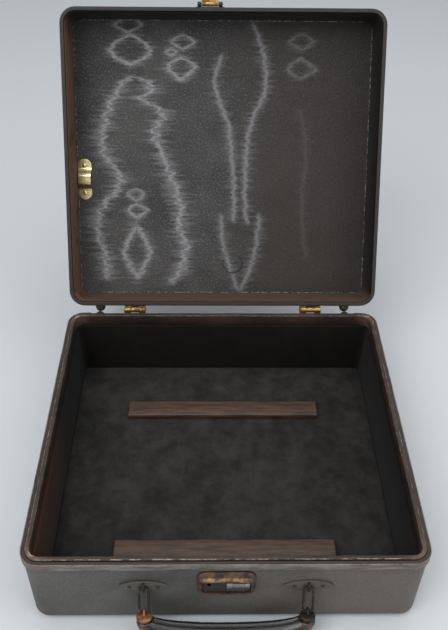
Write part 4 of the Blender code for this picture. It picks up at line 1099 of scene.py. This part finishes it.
# A place along the grip, from -1 at the left end to 1 at the right, with its radius and direction.
def gripLine(share):
    s = gripSettings
    t = 1 - abs(share)
    u = 1 - t
    start = Vector((-s["half"], -s["start"] - s["lead"], 0))
    pull = start + Vector((0, -s["endPull"], 0))
    rest = Vector((-s["midPull"], -s["reach"], 0))
    middle = Vector((0, -s["reach"], 0))
    place = start * u ** 3 + pull * 3 * u * u * t + rest * 3 * u * t * t + middle * t ** 3
    along = (pull - start) * 3 * u * u + (rest - pull) * 6 * u * t + (middle - rest) * 3 * t * t
    radius = s["endRadius"] + (s["midRadius"] - s["endRadius"]) * sin(pi / 2 * t)
    if share > 0:
        place.x = -place.x
        along = Vector((along.x, -along.y, 0))
    return place, along.normalized(), radius


# A point on the grip's surface. Angle 0 faces the wall eyes.
def gripPlace(share, angle, proud=0.0):
    place, along, radius = gripLine(share)
    inward = Vector((0, 0, 1)).cross(along).normalized()
    if inward.y < 0:
        inward = -inward
    out = inward * cos(angle) + Vector((0, 0, 1)) * sin(angle)
    return place + out * (radius + proud), out, along


def hangDown(piece):
    s = gripSettings
    piece.matrix_world = Matrix.Translation(s["swing"]) @ Matrix.Rotation(asin(s["drop"] / s["reach"]), 4, "X")
    settle(piece)


def buildGrip():
    s = gripSettings
    drop()
    bpy.ops.mesh.primitive_cylinder_add(vertices=s["sides"], radius=1.0, depth=2.0, end_fill_type="NGON")
    grip = bpy.context.object
    grip.name = "gripLeather"
    spots = grip.data.vertices
    choose(grip, "EDGE", lambda edge: abs(spots[edge.vertices[0]].co.z - spots[edge.vertices[1]].co.z) > 1)
    bpy.ops.mesh.subdivide(number_cuts=s["steps"])
    choose(grip, "FACE", lambda face: abs(face.normal.z) > 0.9)
    bpy.ops.mesh.inset(thickness=s["capInset"], use_even_offset=False)
    enter("OBJECT")
    draw = random.Random(s["seed"])
    creases = [(draw.uniform(-0.9, 0.9), draw.uniform(0, 2 * pi), draw.uniform(0.008, 0.02))
               for _ in range(s["creaseCount"])]
    for vertex in grip.data.vertices:
        share = max(-1, min(1, vertex.co.z))
        reach = (vertex.co.x ** 2 + vertex.co.y ** 2) ** 0.5
        angle = 0 if reach < 0.0001 else Vector((vertex.co.x, vertex.co.y)).angle_signed(Vector((1, 0)))
        seam = abs(angle) / s["seamWide"]
        proud = s["seamHigh"] * max(1 - seam * seam, 0) if seam < 1 else 0
        proud -= 0.0005 * max(0, 1 - abs(seam - 1.4) / 0.5)
        for place, side, wide in creases:
            close = abs(share - place - 0.01 * sin(3 * angle + side)) / wide
            if close < 1:
                proud -= s["crease"] * (1 - close) * (0.4 + 0.6 * abs(cos((angle - side) / 2)))
        ending = max(0, abs(share) - 0.97) / 0.03
        place, along, radius = gripLine(share)
        point, out, along = gripPlace(share, angle, proud - 0.0012 * ending * ending)
        vertex.co = place + (point - place) * reach
    smooth(grip, 60)
    hangDown(grip)
    hand(grip, materials["grip"], "handle", "black_leather", "handle_leather", "handle_core")
    buildStitches()


def buildStitches():
    s = gripSettings
    drop()
    bpy.ops.mesh.primitive_uv_sphere_add(segments=8, ring_count=6, radius=1.0)
    stitch = bpy.context.object
    pick(stitch)
    bpy.ops.transform.resize(value=(s["stitchWire"], s["stitch"] / 2, s["stitchWire"]))
    settle(stitch)
    copies = []
    for side in (-1, 1):
        for step in range(s["stitches"]):
            share = s["stitchEnd"] * (2 * step / (s["stitches"] - 1) - 1)
            point, out, along = gripPlace(share, side * s["seamWide"] * 1.25, -0.0003)
            across = out.cross(along).normalized()
            turn = Matrix((across, along, out)).transposed().to_4x4()
            copy = stitch.copy()
            copy.data = stitch.data.copy()
            copy.matrix_world = Matrix.Translation(point) @ turn
            bpy.context.scene.collection.objects.link(copy)
            copies.append(copy)
    bpy.data.objects.remove(stitch)
    drop()
    for copy in copies:
        copy.select_set(True)
    bpy.context.view_layer.objects.active = copies[0]
    bpy.ops.object.join()
    thread = bpy.context.object
    thread.name = "gripThread"
    settle(thread)
    hangDown(thread)
    smooth(thread, 60)
    hand(thread, materials["grip"], "handle", "black_leather")


buildGrip()
print("handle done")

# Nodes that stay as they are and only show through gaps
plainNodes = {"base_floor_board": "wood", "base_walls": "wood", "lid_top_board": "wood", "lid_walls": "wood"}
for node, look in plainNodes.items():
    nodes[node].data.materials.clear()
    nodes[node].data.materials.append(materials[look])

# Stage: floor, light and camera
stageSettings = {
    "floorColour": colour(200, 204, 207),
    "floorHalf": 3.0,
    "floorHeight": -0.0035,
    "worldColour": colour(238, 240, 244),
    "worldStrength": 0.55,
}
lamps = {
    "keyLamp": {"place": (-0.75, -0.85, 1.55), "aim": (0, 0.05, 0.10), "size": 1.1, "power": 17},
    "fillLamp": {"place": (1.20, -0.60, 1.10), "aim": (0, 0.05, 0.10), "size": 1.4, "power": 8},
    "topLamp": {"place": (0.10, 0.25, 1.90), "aim": (0, 0.05, 0.10), "size": 1.6, "power": 12},
}


def buildStage():
    s = stageSettings
    drop()
    bpy.ops.mesh.primitive_grid_add(x_subdivisions=8, y_subdivisions=8, size=2 * s["floorHalf"],
                                    location=(0, 0, s["floorHeight"]))
    floor = bpy.context.object
    floor.name = "paleFloor"
    settle(floor)
    material, tree, shader, place = startMaterial("paleFloor")
    shader.inputs["Base Color"].default_value = s["floorColour"]
    shader.inputs["Roughness"].default_value = 0.85
    floor.data.materials.append(material)
    world = bpy.data.worlds.new("studio")
    world.use_nodes = True
    background = world.node_tree.nodes["Background"]
    background.inputs["Color"].default_value = s["worldColour"]
    background.inputs["Strength"].default_value = s["worldStrength"]
    bpy.context.scene.world = world
    for name, lamp in lamps.items():
        data = bpy.data.lights.new(name, "AREA")
        data.energy = lamp["power"]
        data.size = lamp["size"]
        light = bpy.data.objects.new(name, data)
        aim = Vector(lamp["aim"]) - Vector(lamp["place"])
        light.matrix_world = Matrix.Translation(lamp["place"]) @ aim.to_track_quat("-Z", "Y").to_matrix().to_4x4()
        bpy.context.scene.collection.objects.link(light)
    bpy.context.scene.view_settings.view_transform = "Standard"


buildStage()
addCamera()
print("stage done")
